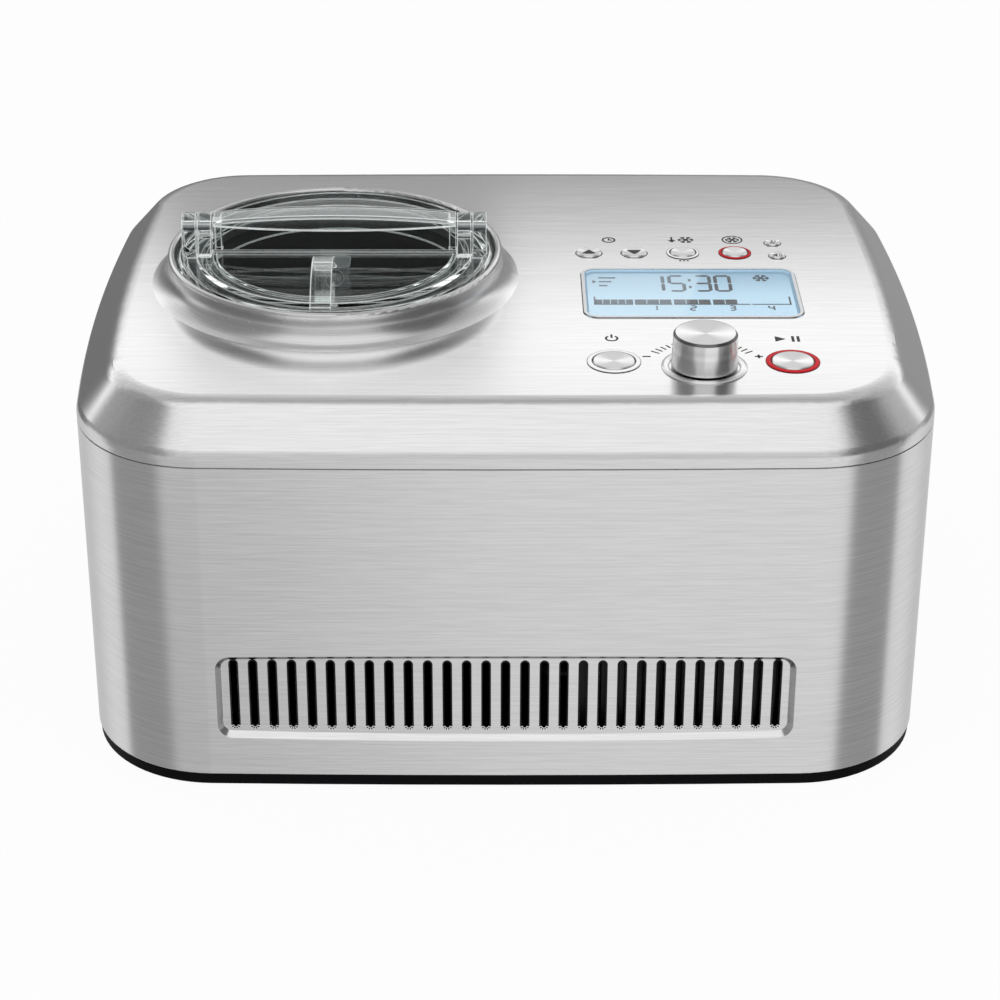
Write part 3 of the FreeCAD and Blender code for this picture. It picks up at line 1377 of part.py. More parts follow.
def gearbox_base():
    """Plate with the idler pin, the motor seat and the shaft's lower bearing."""
    plate = gearbox_block(GEARBOX_Z, GEAR_Z, 0.0)
    low = GEARBOX_Z - 1
    high = GEAR_Z + 1
    plate = plate.cut(rod(BOWL_X, 0, low, high, SHAFT_RADIUS + RUNNING_FIT))
    plate = plate.cut(rod(MOTOR_X, MOTOR_Y, low, high, MOTOR_BOSS + FIT_GAP))
    return plate.fuse(rod(IDLER_X, 0, GEARBOX_Z, GEARBOX_TOP - GEARBOX_ROOF, IDLER_PIN)).removeSplitter()


def gearbox_cover():
    """Hood over the gears with a hole for the drive shaft."""
    cover = gearbox_block(GEAR_Z, GEARBOX_TOP, 0.0)
    cover = cover.cut(gearbox_block(GEAR_Z - 1, GEARBOX_TOP - GEARBOX_ROOF, GEARBOX_WALL))
    return cover.cut(rod(BOWL_X, 0, GEAR_Z, GEARBOX_TOP + 1, SHAFT_RADIUS + FIT_GAP))


def output_gear():
    """Large wheel on the drive shaft."""
    wheel = gear(WHEEL_TEETH, SECOND_MODULE, BOWL_X, 0, SECOND_Z, SECOND_FACE, 0.0)
    return wheel.cut(rod(BOWL_X, 0, GEAR_Z, GEARBOX_TOP, SHAFT_RADIUS + PRESS_GAP))


def idler_gear():
    """Wheel and pinion in one piece, turning on the idler pin."""
    turn = math.pi + math.pi / PINION_TEETH
    small = gear(PINION_TEETH, SECOND_MODULE, IDLER_X, 0, SECOND_Z - GEAR_GAP, SECOND_FACE + GEAR_GAP, turn)
    large = gear(WHEEL_TEETH, FIRST_MODULE, IDLER_X, 0, FIRST_Z, FIRST_FACE, MOTOR_ANGLE)
    both = large.fuse(small)
    return both.cut(rod(IDLER_X, 0, GEAR_Z, GEARBOX_TOP, IDLER_PIN + RUNNING_FIT)).removeSplitter()


def motor_pinion():
    """Pinion with the motor's shaft."""
    turn = MOTOR_ANGLE + math.pi + math.pi / PINION_TEETH
    pinion = gear(PINION_TEETH, FIRST_MODULE, MOTOR_X, MOTOR_Y, FIRST_Z, FIRST_FACE, turn)
    shaft = rod(MOTOR_X, MOTOR_Y, GEARBOX_Z - MOTOR_SHAFT_DEPTH, FIRST_Z, MOTOR_SHAFT)
    return pinion.fuse(shaft).removeSplitter()


def drive_motor():
    """Motor hung below the gearbox plate."""
    low = GEARBOX_Z - MOTOR_LENGTH
    can = rod(MOTOR_X, MOTOR_Y, low, GEARBOX_Z, MOTOR_RADIUS)
    boss = rod(MOTOR_X, MOTOR_Y, GEARBOX_Z, GEAR_Z, MOTOR_BOSS)
    bore_z = GEARBOX_Z - MOTOR_SHAFT_DEPTH - FIT_GAP
    bore = rod(MOTOR_X, MOTOR_Y, bore_z, GEAR_Z + 1, MOTOR_SHAFT + RUNNING_FIT)
    return can.fuse(boss).cut(bore).removeSplitter()


def drive_shaft():
    """Upright shaft with a square end for the dasher."""
    shaft = rod(BOWL_X, 0, GEARBOX_Z, SHAFT_TOP, SHAFT_RADIUS)
    square_z = SPINDLE_TOP + REST_GAP
    half = SHAFT_SQUARE / 2
    end = rod(BOWL_X, 0, square_z, SHAFT_TOP + 1, SHAFT_RADIUS + 1)
    end = end.cut(box(BOWL_X - half, BOWL_X + half, -half, half, square_z - 1, SHAFT_TOP + 2))
    return shaft.cut(end)


# Cooling unit


def compressor():
    """Welded compressor pot with domed ends and a seam flange."""
    x, y = COMPRESSOR_PLACE
    r = COMPRESSOR_RADIUS
    low = POT_Z
    high = POT_Z + COMPRESSOR_HEIGHT
    seam = POT_SEAM_Z
    flat = r - COMPRESSOR_DOME
    k = COMPRESSOR_DOME * (1 - math.sqrt(0.5))
    steps = [
        (0.0, low),
        (flat, low),
        ((r - k, low + k), (r, low + COMPRESSOR_DOME)),
        (r, seam),
        (r + COMPRESSOR_SEAM, seam),
        (r + COMPRESSOR_SEAM, seam + COMPRESSOR_SEAM_HEIGHT),
        (r, seam + COMPRESSOR_SEAM_HEIGHT),
        (r, high - COMPRESSOR_DOME),
        ((r - k, high - k), (flat, high)),
        (0.0, high),
    ]
    return turned(steps, x, y)


def grommet_places():
    """Centres of the compressor's rubber mounts."""
    x, y = COMPRESSOR_PLACE
    return [(x + sx * MOUNT_HALF, y + sy * MOUNT_HALF) for sx in (-1, 1) for sy in (-1, 1)]


def compressor_plate():
    """Steel mounting plate under the pot."""
    x, y = COMPRESSOR_PLACE
    plate = rounded_block(x, y, MOUNT_SIDE, MOUNT_SIDE, GROMMET_RADIUS, MOUNT_Z, POT_Z)
    for gx, gy in grommet_places():
        plate = plate.cut(rod(gx, gy, MOUNT_Z - 1, POT_Z + 1, GROMMET_BORE))
    return plate


def compressor_grommets():
    """Rubber mounts between tray and plate."""
    mounts = []
    for x, y in grommet_places():
        steps = [
            (GROMMET_BORE, FLOOR_Z),
            (GROMMET_RADIUS, FLOOR_Z),
            (GROMMET_RADIUS, FLOOR_Z + GROMMET_HEIGHT / 3),
            (GROMMET_WAIST, FLOOR_Z + GROMMET_HEIGHT / 2),
            (GROMMET_RADIUS, MOUNT_Z - GROMMET_HEIGHT / 3),
            (GROMMET_RADIUS, MOUNT_Z),
            (GROMMET_BORE, MOUNT_Z),
        ]
        mounts.append(turned(steps, x, y))
    return Part.makeCompound(mounts)


def terminal_cover():
    """Box over the compressor's terminals."""
    x, y = COMPRESSOR_PLACE
    front = y - COMPRESSOR_RADIUS - TERMINAL_DEPTH
    cover = box(x - TERMINAL_WIDTH / 2, x + TERMINAL_WIDTH / 2, front, y, POT_SEAM_Z - TERMINAL_HEIGHT / 2,
                POT_SEAM_Z + TERMINAL_HEIGHT / 2)
    return cover.cut(compressor())


def condenser():
    """Finned block between two headers, as one extruded comb."""
    x0 = CONDENSER_LEFT + HEADER_WIDTH
    x1 = CONDENSER_LEFT + CONDENSER_WIDTH - HEADER_WIDTH
    y0 = CONDENSER_FRONT
    y1 = CONDENSER_FRONT + CONDENSER_DEPTH
    z1 = CONDENSER_Z + CONDENSER_HEIGHT
    block = box(CONDENSER_LEFT, CONDENSER_LEFT + CONDENSER_WIDTH, y0, y1, CONDENSER_Z, z1)
    pitch = (x1 - x0) / FIN_COUNT
    cut = (CONDENSER_DEPTH - FIN_CORE) / 2
    slots = []
    for i in range(FIN_COUNT):
        x = x0 + (i + 0.5) * pitch
        slots.append(box(x - FIN_SLOT / 2, x + FIN_SLOT / 2, y0 - 1, y0 + cut, CONDENSER_Z - 1, z1 + 1))
        slots.append(box(x - FIN_SLOT / 2, x + FIN_SLOT / 2, y1 - cut, y1 + 1, CONDENSER_Z - 1, z1 + 1))
    feet = []
    for x in (CONDENSER_LEFT, CONDENSER_LEFT + CONDENSER_WIDTH - HEADER_WIDTH):
        feet.append(box(x, x + HEADER_WIDTH, y0, y1, FLOOR_Z, CONDENSER_Z))
    return fuse([block.cut(Part.makeCompound(slots))] + feet)


def fan_shroud():
    """Square plate with a round duct, and spokes that carry the fan motor."""
    y0 = SHROUD_Y
    y1 = SHROUD_Y + SHROUD_DEPTH
    duct_r = FAN_RADIUS + FAN_TIP_GAP
    plate = box(CONDENSER_LEFT, CONDENSER_LEFT + CONDENSER_WIDTH, y0, y0 + SHROUD_PLATE, FLOOR_Z,
                CONDENSER_Z + CONDENSER_HEIGHT)
    along = V(0, 1, 0)
    duct = rod_along(along, V(FAN_X, y0, FAN_Z), SHROUD_DEPTH, duct_r + SHROUD_WALL)
    hollow = rod_along(along, V(FAN_X, y0 - 1, FAN_Z), SHROUD_DEPTH + 2, duct_r)
    frame = plate.fuse(duct).cut(hollow)
    spokes = []
    for i in range(3):
        half = SPOKE_WIDTH / 2
        spoke = box(FAN_MOTOR_RADIUS - 1, duct_r + SHROUD_WALL, y1 - SPOKE_WALL, y1, -half, half)
        spoke.rotate(V(0, 0, 0), V(0, 1, 0), 90 + 120 * i)
        spoke.translate(V(FAN_X, 0, FAN_Z))
        spokes.append(spoke)
    frame = fuse([frame] + spokes)
    return frame.cut(rod_along(along, V(FAN_X, y0 - 1, FAN_Z), SHROUD_DEPTH + 2, FAN_MOTOR_RADIUS))


def fan_blade():
    """Axial fan wheel: hub, pitched blades and shaft."""
    along = V(0, 1, 0)
    y0 = SHROUD_Y + FAN_PLATE_GAP
    middle = y0 + FAN_DEPTH / 2
    hub = rod_along(along, V(FAN_X, y0, FAN_Z), FAN_DEPTH, FAN_HUB)
    disc = rod_along(along, V(FAN_X, y0, FAN_Z), FAN_DEPTH, FAN_RADIUS)
    blades = []
    for i in range(FAN_BLADES):
        blade = box(FAN_HUB - 1, FAN_RADIUS + 1, -BLADE_THICKNESS / 2, BLADE_THICKNESS / 2,
                    -FAN_CHORD / 2, FAN_CHORD / 2)
        blade.rotate(V(0, 0, 0), V(1, 0, 0), 90 - FAN_PITCH)
        blade.rotate(V(0, 0, 0), V(0, 1, 0), 360.0 * i / FAN_BLADES)
        blade.translate(V(FAN_X, middle, FAN_Z))
        blades.append(blade.common(disc))
    shaft = rod_along(along, V(FAN_X, y0, FAN_Z), FAN_DEPTH + FAN_MOTOR_GAP + FAN_SHAFT_DEPTH, FAN_SHAFT)
    return fuse([hub, shaft] + blades)


def fan_motor():
    """Small motor held by the spokes of the shroud."""
    along = V(0, 1, 0)
    y0 = SHROUD_Y + FAN_PLATE_GAP + FAN_DEPTH + FAN_MOTOR_GAP
    can = rod_along(along, V(FAN_X, y0, FAN_Z), FAN_MOTOR_LENGTH, FAN_MOTOR_RADIUS)
    return can.cut(rod_along(along, V(FAN_X, y0 - 1, FAN_Z), FAN_SHAFT_DEPTH + 2, FAN_SHAFT + RUNNING_FIT))


def filter_drier():
    """Copper filter in the liquid line, tapered at both ends."""
    x, y = DRIER_PLACE
    low = FLOOR_Z + DRIER_RISE
    high = low + DRIER_LENGTH
    steps = [
        (0.0, low),
        (DRIER_NECK, low),
        (DRIER_RADIUS, low + DRIER_TAPER),
        (DRIER_RADIUS, high - DRIER_TAPER),
        (DRIER_NECK, high),
        (0.0, high),
    ]
    return turned(steps, x, y)


def suction_pipe():
    """Return pipe from the evaporator to the compressor."""
    x, y = COMPRESSOR_PLACE
    z = PIPE_Z
    foam_x = BOWL_X + math.sqrt(FOAM_OUTER ** 2 - (y - MOUNT_HALF) ** 2)
    points = [
        V(x - COMPRESSOR_RADIUS / 2, y, z),
        V((x - COMPRESSOR_RADIUS + foam_x) / 2, y, z),
        V((x - COMPRESSOR_RADIUS + foam_x) / 2, y - MOUNT_HALF, z),
        V(foam_x - 2 * PIPE_RADIUS, y - MOUNT_HALF, z),
    ]
    return swept_tube(bent_path(points, 4 * PIPE_RADIUS), PIPE_RADIUS).cut(compressor())


def discharge_pipe():
    """Hot pipe from the compressor to the condenser's right header."""
    x, y = COMPRESSOR_PLACE
    z = PIPE_Z
    right = x + COMPRESSOR_RADIUS + 2 * PIPE_RADIUS
    header_y = CONDENSER_FRONT + CONDENSER_DEPTH / 2
    points = [
        V(x + COMPRESSOR_RADIUS / 2, y - COMPRESSOR_RADIUS / 2, z),
        V(right, y - COMPRESSOR_RADIUS / 2, z),
        V(right, header_y, z),
        V(CONDENSER_LEFT + CONDENSER_WIDTH, header_y, z),
    ]
    return swept_tube(bent_path(points, 2 * PIPE_RADIUS), PIPE_RADIUS).cut(compressor())


def liquid_pipe():
    """Pipe from the condenser's left header to the filter drier."""
    x, y = DRIER_PLACE
    header_y = CONDENSER_FRONT + CONDENSER_DEPTH / 2
    low = FLOOR_Z + DRIER_RISE
    drop = low - 8 * CAPILLARY_RADIUS
    points = [
        V(CONDENSER_LEFT, header_y, drop),
        V(x, header_y, drop),
        V(x, y, drop),
        V(x, y, low),
    ]
    return swept_tube(bent_path(points, 3 * CAPILLARY_RADIUS), CAPILLARY_RADIUS)


def capillary():
    """Thin tube from the filter drier into the insulation."""
    x, y = DRIER_PLACE
    low = FLOOR_Z + DRIER_RISE + DRIER_LENGTH
    high = low + 10 * CAPILLARY_RADIUS
    reach = math.hypot(x - BOWL_X, y)
    share = (FOAM_OUTER - 6 * CAPILLARY_RADIUS) / reach
    points = [
        V(x, y, low),
        V(x, y, high),
        V(BOWL_X + (x - BOWL_X) * share, y * share, high),
    ]
    return swept_tube(bent_path(points, 4 * CAPILLARY_RADIUS), CAPILLARY_RADIUS)


# Power supply and long screws


def power_board_blank(gap):
    """Plain board shape, grown by a gap."""
    low = FLOOR_Z + POWER_BOARD_RISE - gap
    half = BOARD_WALL / 2 + gap
    return box(POWER_BOARD_LEFT - gap, POWER_BOARD_LEFT + POWER_BOARD_WIDTH + gap, POWER_BOARD_Y - half,
               POWER_BOARD_Y + half, low, low + POWER_BOARD_HEIGHT + 2 * gap)


def power_board():
    """Upright circuit board that slides into the tray's rails."""
    return power_board_blank(0.0)


def power_parts():
    """Transformer and two capacitors soldered on the power board."""
    width, depth, height = TRANSFORMER_SIZE
    x = POWER_BOARD_LEFT + POWER_BOARD_WIDTH / 3
    y = POWER_BOARD_Y - BOARD_WALL / 2
    z = FLOOR_Z + POWER_BOARD_RISE + POWER_BOARD_HEIGHT / 2
    core = box(x - width / 2, x + width / 2, y - depth, y, z - height / 2, z + height / 2)
    width, depth, height = WINDING_SIZE
    winding = box(x - width / 2, x + width / 2, y - depth, y, z - height / 2, z + height / 2)
    pieces = [core.fuse(winding).removeSplitter()]
    x = POWER_BOARD_LEFT + POWER_BOARD_WIDTH * CAPACITOR_SHARE
    for side in (-1, 1):
        start = V(x, y, z + side * CAPACITOR_SPACING / 2)
        pieces.append(rod_along(V(0, -1, 0), start, CAPACITOR_LENGTH, CAPACITOR_RADIUS))
    return Part.makeCompound(pieces)


def screw(x, y, seat, length):
    """Upright screw with its head below the given level."""
    head = rod(x, y, seat - SCREW_HEAD_HEIGHT, seat, SCREW_HEAD)
    return head.fuse(rod(x, y, seat, seat + length, SCREW_SHANK)).removeSplitter()


def screws():
    """Four case screws up through the tray posts and four that hold the control board."""
    group = []
    for x, y in CORNER_POSTS:
        group.append(screw(x, y, POST_TOP - SCREW_GRIP / 2, SCREW_GRIP))
    for x, y in board_corners():
        group.append(screw(x, y, BOARD_TOP - BOARD_WALL, BOARD_WALL + BOARD_SCREW_BITE))
    return Part.makeCompound(group)


def build():
    """Every piece by its node name."""
    nodes = {
        "base_tray": base_tray(),
        "rubber_feet": rubber_feet(),
        "body_wrap": body_wrap(),
        "rear_grille": rear_grille(),
        "cord_gland": cord_gland(),
        "top_cover": top_cover(),
        "dial_ring": dial_ring(),
        "dial_knob": dial_knob(),
        "dial_shaft": dial_shaft(),
        "encoder": encoder(),
        "display_bezel": display_bezel(),
        "display_window": display_window(),
        "display_module": display_module(),
        "panel_bracket": panel_bracket(),
        "control_board": control_board(),
        "tact_switches": tact_switches(),
        "evaporator_tub": evaporator_tub(),
        "tub_seal": tub_seal(),
        "evaporator_coil": evaporator_coil(),
        "foam_jacket": foam_jacket(),
        "shaft_bush": shaft_bush(),
        "ice_bowl": ice_bowl(),
        "dasher": dasher(),
        "lid_body": lid_body(),
        "lid_flap": lid_flap(),
        "flap_pins": flap_pin_rods(0.0),
        "gearbox_base": gearbox_base(),
        "gearbox_cover": gearbox_cover(),
        "output_gear": output_gear(),
        "idler_gear": idler_gear(),
        "motor_pinion": motor_pinion(),
        "drive_motor": drive_motor(),
        "drive_shaft": drive_shaft(),
        "compressor": compressor(),
        "compressor_plate": compressor_plate(),
        "compressor_grommets": compressor_grommets(),
        "terminal_cover": terminal_cover(),
        "condenser": condenser(),
        "fan_shroud": fan_shroud(),
        "fan_blade": fan_blade(),
        "fan_motor": fan_motor(),
        "filter_drier": filter_drier(),
        "suction_pipe": suction_pipe(),
        "discharge_pipe": discharge_pipe(),
        "liquid_line": Part.makeCompound([liquid_pipe(), capillary()]),
        "power_board": power_board(),
        "power_parts": power_parts(),
        "screws": screws(),
    }
    for name in BUTTONS:
        nodes[name] = button(name)
    for name in RINGS:
        nodes[name] = button_ring(name)
    return nodes


def main():
    os.makedirs("parts", exist_ok=True)
    for name, shape in build().items():
        shape.exportStep("parts/" + name + ".step")


main()
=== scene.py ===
"""Ice cream maker with its own compressor: finishes, prints, studio and camera."""

import math

import bmesh
import bpy
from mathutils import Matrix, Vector


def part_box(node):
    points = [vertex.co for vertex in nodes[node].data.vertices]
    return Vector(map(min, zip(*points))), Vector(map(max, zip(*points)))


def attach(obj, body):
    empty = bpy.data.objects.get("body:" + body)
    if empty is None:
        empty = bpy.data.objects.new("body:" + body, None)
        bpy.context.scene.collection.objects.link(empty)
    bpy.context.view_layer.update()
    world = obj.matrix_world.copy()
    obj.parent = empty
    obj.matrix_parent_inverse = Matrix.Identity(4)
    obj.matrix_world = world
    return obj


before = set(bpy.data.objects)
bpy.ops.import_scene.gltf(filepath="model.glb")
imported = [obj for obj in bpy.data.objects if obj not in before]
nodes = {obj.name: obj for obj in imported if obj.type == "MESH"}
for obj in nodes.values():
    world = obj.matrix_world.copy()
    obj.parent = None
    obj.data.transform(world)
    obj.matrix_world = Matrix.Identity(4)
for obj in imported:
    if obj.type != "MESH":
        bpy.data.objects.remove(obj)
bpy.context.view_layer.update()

MM = 0.001
PLATE_Z = 186.7 * MM
PRINT_PROUD = 0.06 * MM
PRINT_SUNK = 0.02 * MM

CAMERA_PLACE = (-0.00747, -1.1693, 0.6888)
CAMERA_TILT = math.radians(63.58)
CAMERA_LENS = 96.98
CAMERA_SHIFT = (0.0113, -0.075)


def middle(node):
    """The middle of a node's box."""
    low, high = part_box(node)
    return (Vector(low) + Vector(high)) / 2


def top(node):
    """The highest level of a node."""
    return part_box(node)[1][2]


class Wire:
    """One output of a node. Arithmetic on it adds Math nodes to its tree."""

    def __init__(self, tree, socket):
        self.tree = tree
        self.socket = socket

    def math(self, operation, first, second=0.0):
        return self.tree.add("ShaderNodeMath", {"operation": operation}, {0: first, 1: second})

    def __add__(self, other):
        return self.math("ADD", self, other)

    def __radd__(self, other):
        return self.math("ADD", other, self)

    def __sub__(self, other):
        return self.math("SUBTRACT", self, other)

    def __rsub__(self, other):
        return self.math("SUBTRACT", other, self)

    def __mul__(self, other):
        return self.math("MULTIPLY", self, other)

    def __rmul__(self, other):
        return self.math("MULTIPLY", other, self)

    def __truediv__(self, other):
        return self.math("DIVIDE", self, other)

    def __pow__(self, other):
        return self.math("POWER", self, other)

    def __abs__(self):
        return self.math("ABSOLUTE", self)

    def at_least(self, other):
        return self.math("MAXIMUM", self, other)

    def step(self, low, high):
        """0 below low, 1 above high and a soft ramp between them."""
        return self.tree.add("ShaderNodeMapRange", {"interpolation_type": "SMOOTHSTEP"},
                             {"Value": self, "From Min": low, "From Max": high})


class Tree:
    """A node tree in the making."""

    def __init__(self, node_tree):
        self.nodes = node_tree.nodes
        self.links = node_tree.links

    def add(self, kind, settings=None, sockets=None, output=0):
        """A node of that type: its settings first, then the values or links of its sockets."""
        node = self.nodes.new(kind)
        for name, value in (settings or {}).items():
            if name == "stops":
                self.set_stops(node.color_ramp.elements, value)
            else:
                setattr(node, name, value)
        for key, value in (sockets or {}).items():
            if isinstance(value, Wire):
                self.links.new(value.socket, node.inputs[key])
            else:
                node.inputs[key].default_value = value
        if node.outputs:
            return Wire(self, node.outputs[output])
        return node

    def set_stops(self, elements, stops):
        while len(elements) < len(stops):
            elements.new(1.0)
        for element, (place, colour) in zip(elements, stops):
            element.position = place
            element.color = (*colour, 1.0)

    def axis(self, vector, index):
        """One component of a vector."""
        return self.add("ShaderNodeSeparateXYZ", None, {0: vector}, output=index)

    def radius(self, vector):
        """The distance from the upright axis through the origin."""
        x = self.axis(vector, 0)
        y = self.axis(vector, 1)
        return (x * x + y * y) ** 0.5


BEVEL_SAMPLES = 6
EDGE_LIKENESS = (0.86, 0.985)


class Finish(Tree):
    """A material under its own name, with the nodes that give it grain, tone and gloss."""

    def __init__(self, name):
        self.material = bpy.data.materials.new(name)
        self.material.use_nodes = True
        super().__init__(self.material.node_tree)
        self.nodes.clear()

    def place(self, scale=(1, 1, 1), centre=(0, 0, 0)):
        """Object coordinates measured from a centre and stretched."""
        here = self.add("ShaderNodeTexCoord", output="Object")
        shift = [-c * s for c, s in zip(centre, scale)]
        return self.add("ShaderNodeMapping", None, {"Vector": here, "Location": shift, "Scale": scale})

    def upward(self):
        """How far the surface faces up: 1 is level, 0 upright and -1 an underside."""
        return self.axis(self.add("ShaderNodeNewGeometry", output="Normal"), 2)

    def noise(self, vector, scale=1.0, detail=2.0):
        return self.add("ShaderNodeTexNoise", None, {"Vector": vector, "Scale": scale, "Detail": detail})

    def line_noise(self, value, detail=2.0):
        """Noise along one number, such as a radius."""
        return self.add("ShaderNodeTexNoise", {"noise_dimensions": "1D"},
                        {"W": value, "Scale": 1.0, "Detail": detail})

    def blend(self, share, first, second):
        """From the first colour to the second by a share."""
        return self.add("ShaderNodeMix", {"data_type": "RGBA"}, {0: share, 6: first, 7: second}, output=2)

    def bump(self, height, strength, distance, rounding=0.0):
        """Relief from a height; rounding softens the sharp edges of the piece as a broken edge does."""
        sockets = {"Height": height, "Strength": strength, "Distance": distance}
        if rounding:
            sockets["Normal"] = self.add("ShaderNodeBevel", {"samples": BEVEL_SAMPLES}, {"Radius": rounding})
        return self.add("ShaderNodeBump", None, sockets)

    def edges(self, reach):
        """1 along the sharp edges of the piece, within that reach, and 0 elsewhere."""
        soft = self.add("ShaderNodeBevel", {"samples": BEVEL_SAMPLES}, {"Radius": reach})
        plain = self.add("ShaderNodeNewGeometry", output="Normal")
        likeness = self.add("ShaderNodeVectorMath", {"operation": "DOT_PRODUCT"}, {0: soft, 1: plain},
                            output="Value")
        return 1.0 - likeness.step(*EDGE_LIKENESS)

    def surface(self, sockets):
        """Close the material with one principled shader."""
        shader = self.add("ShaderNodeBsdfPrincipled", None, sockets)
        self.add("ShaderNodeOutputMaterial", None, {"Surface": shader})
        return self.material


def grey(value):
    return (value, value, value, 1.0)


def tint(colour, share=1.0):
    """A colour, or a darker share of it, as a socket takes it."""
    return (*[c * share for c in colour], 1.0)


BRUSHED_ROUND = (22, 22, 1100)
BRUSHED_ACROSS = (22, 1100, 1100)
FINER_LINES = 2.7
BRUSH_DEPTH = 0.01 * MM
TURNED_DEPTH = 0.006 * MM
SKIN_DEPTH = 0.2 * MM
SHEET_EDGE = 0.4 * MM
CAP_EDGE = 0.35 * MM


def brush_lines(finish, along):
    """Fine brush lines: along holds the stretch on each axis."""
    lines = finish.noise(finish.place(along), detail=2.0)
    fine = finish.noise(finish.place([FINER_LINES * a for a in along]), detail=1.0)
    return lines * 0.5 + fine * 0.5


def wrap_steel(name):
    """The body's sheet steel, brushed round the body, with painted shade on its downward faces, as under the
    air intake's upper edge.
    """
    finish = Finish(name)
    lines = brush_lines(finish, BRUSHED_ROUND)
    sheet = finish.blend(lines.step(0.3, 0.7), grey(0.555), grey(0.635))
    return finish.surface({
        # painted shade: faces that look down get a near black colour instead of the steel's own
        "Base Color": finish.blend(finish.upward().step(-0.6, -0.2), grey(0.10), sheet),
        "Metallic": 1.0,
        "Roughness": 0.15 + lines * 0.06,
        "Normal": finish.bump(lines, 0.5, BRUSH_DEPTH, SHEET_EDGE),
    })


COLLAR_FOOT = 86.0 * MM
COLLAR_HEAD = 81.0 * MM
COLLAR_GROOVES = 3000.0
CAP_GROOVES = 6000.0
KNOB_BEVEL = (13.2 * MM, 1.05 * MM)


def cover_steel(name):
    """The top's sheet steel, brushed from side to side, with a turned satin collar round the bowl."""
    finish = Finish(name)
    lines = brush_lines(finish, BRUSHED_ACROSS)
    distance = finish.radius(finish.place(centre=tuple(middle("lid_body"))))
    turned = finish.line_noise(distance * COLLAR_GROOVES)
    collar = 1.0 - distance.step(COLLAR_HEAD, COLLAR_FOOT)
    sheet = finish.blend(lines.step(0.3, 0.7), grey(0.575), grey(0.645))
    satin = finish.blend(turned.step(0.3, 0.7), grey(0.50), grey(0.57))
    return finish.surface({
        "Base Color": finish.blend(collar, sheet, satin),
        "Metallic": 1.0,
        "Roughness": 0.20 + lines * 0.05 + collar * 0.04,
        "Normal": finish.bump(lines, 0.5, BRUSH_DEPTH, SHEET_EDGE),
    })


def spun_metal(name, node, tone=0.74, rough=0.30, bevel=None):
    """Turned metal: fine grooves round the node's own axis draw the light out into wedges on its top.

    A bevel is given by the radius where it starts and by its depth. It carries a painted dark reflection,
    and the wall below it is smoother.
    """
    finish = Finish(name)
    centre = middle(node)
    place = finish.place(centre=(centre.x, centre.y, top(node)))
    distance = finish.radius(place)
    turned = finish.line_noise(distance * CAP_GROOVES, detail=1.0)
    colour = finish.blend(turned.step(0.25, 0.75), grey(tone * 0.86), grey(tone))
    gloss = rough + turned * 0.06
    if bevel:
        reach, depth = bevel
        above = finish.axis(place, 2).step(-depth - 0.1 * MM, -depth)
        # painted dark reflection on the bevel, blended into the metal's colour
        painted_bevel_reflection = distance.step(reach - 0.2 * MM, reach) * above
        colour = finish.blend(painted_bevel_reflection * 0.85, colour, grey(0.05))
        gloss = gloss - (1.0 - above) * 0.14
    return finish.surface({
        "Base Color": colour,
        "Metallic": 1.0,
        "Roughness": gloss,
        "Anisotropic": 0.92,
        "Anisotropic Rotation": 0.25,
        "Normal": finish.bump(turned, 0.5, TURNED_DEPTH, CAP_EDGE),
    })


def moulding(name, colour, rough=0.42, grain=900.0, depth=0.12, shine=0.5):
    """Moulded plastic with a fine spark-eroded texture and a little cloudiness."""
    finish = Finish(name)
    skin = finish.noise(finish.place(), grain, detail=3.0)
    cloud = finish.noise(finish.place(), 14.0, detail=2.0)
    return finish.surface({
        "Base Color": finish.blend(cloud, tint(colour, 0.75), tint(colour)),
        "Roughness": rough + skin * 0.14,
        "Specular IOR Level": shine,
        "Normal": finish.bump(skin, depth, SKIN_DEPTH),
    })


def rubber(name):
    """Black rubber with a little dust on it."""
    finish = Finish(name)
    skin = finish.noise(finish.place(), 1600.0, detail=2.0)
    dust = finish.noise(finish.place(), 60.0, detail=3.0)
    return finish.surface({
        "Base Color": finish.blend(dust.step(0.45, 0.75), grey(0.016), grey(0.035)),
        "Roughness": 0.7 + skin * 0.2,
        "Normal": finish.bump(skin, 0.2, SKIN_DEPTH),
    })


GRIP_LEVEL = 210.0 * MM
GRIP_FADE = 2.0 * MM
LID_EDGE = 1.0 * MM
LID_ROUNDING = 0.7 * MM
RIPPLE_DEPTH = 0.6 * MM


def clear_lid(name, painted_roof_share):
    """Clear moulded plastic, slightly rippled; its edges and the grip's roof carry a pale, faintly glowing
    painted highlight.
    """
    finish = Finish(name)
    ripple = finish.noise(finish.place(), 45.0, detail=1.0)
    skin = finish.bump(ripple, 0.03, RIPPLE_DEPTH, LID_ROUNDING)
    clear = finish.add("ShaderNodeBsdfPrincipled", None, {
        "Base Color": (0.93, 0.965, 0.955, 1.0), "Roughness": 0.01 + ripple * 0.015, "IOR": 1.33,
        "Transmission Weight": 1.0, "Normal": skin})
    # painted highlight: a pale, faintly glowing shader mixed onto the edges and the grip's roof
    painted_glint = finish.add("ShaderNodeBsdfPrincipled", None, {
        "Base Color": (0.93, 0.95, 0.945, 1.0), "Roughness": 0.12 + ripple * 0.1, "Normal": skin,
        "Emission Color": (0.92, 0.96, 0.95, 1.0), "Emission Strength": 0.3})
    level = finish.axis(finish.place(), 2)
    painted_roof_light = finish.upward().step(0.80, 0.95) * level.step(GRIP_LEVEL, GRIP_LEVEL + GRIP_FADE) * painted_roof_share
    painted_edge_mask = finish.edges(LID_EDGE) * 0.95
    mixed = finish.add("ShaderNodeMixShader", None, {0: painted_roof_light.at_least(painted_edge_mask), 1: clear, 2: painted_glint})
    finish.add("ShaderNodeOutputMaterial", None, {"Surface": mixed})
    return finish.material


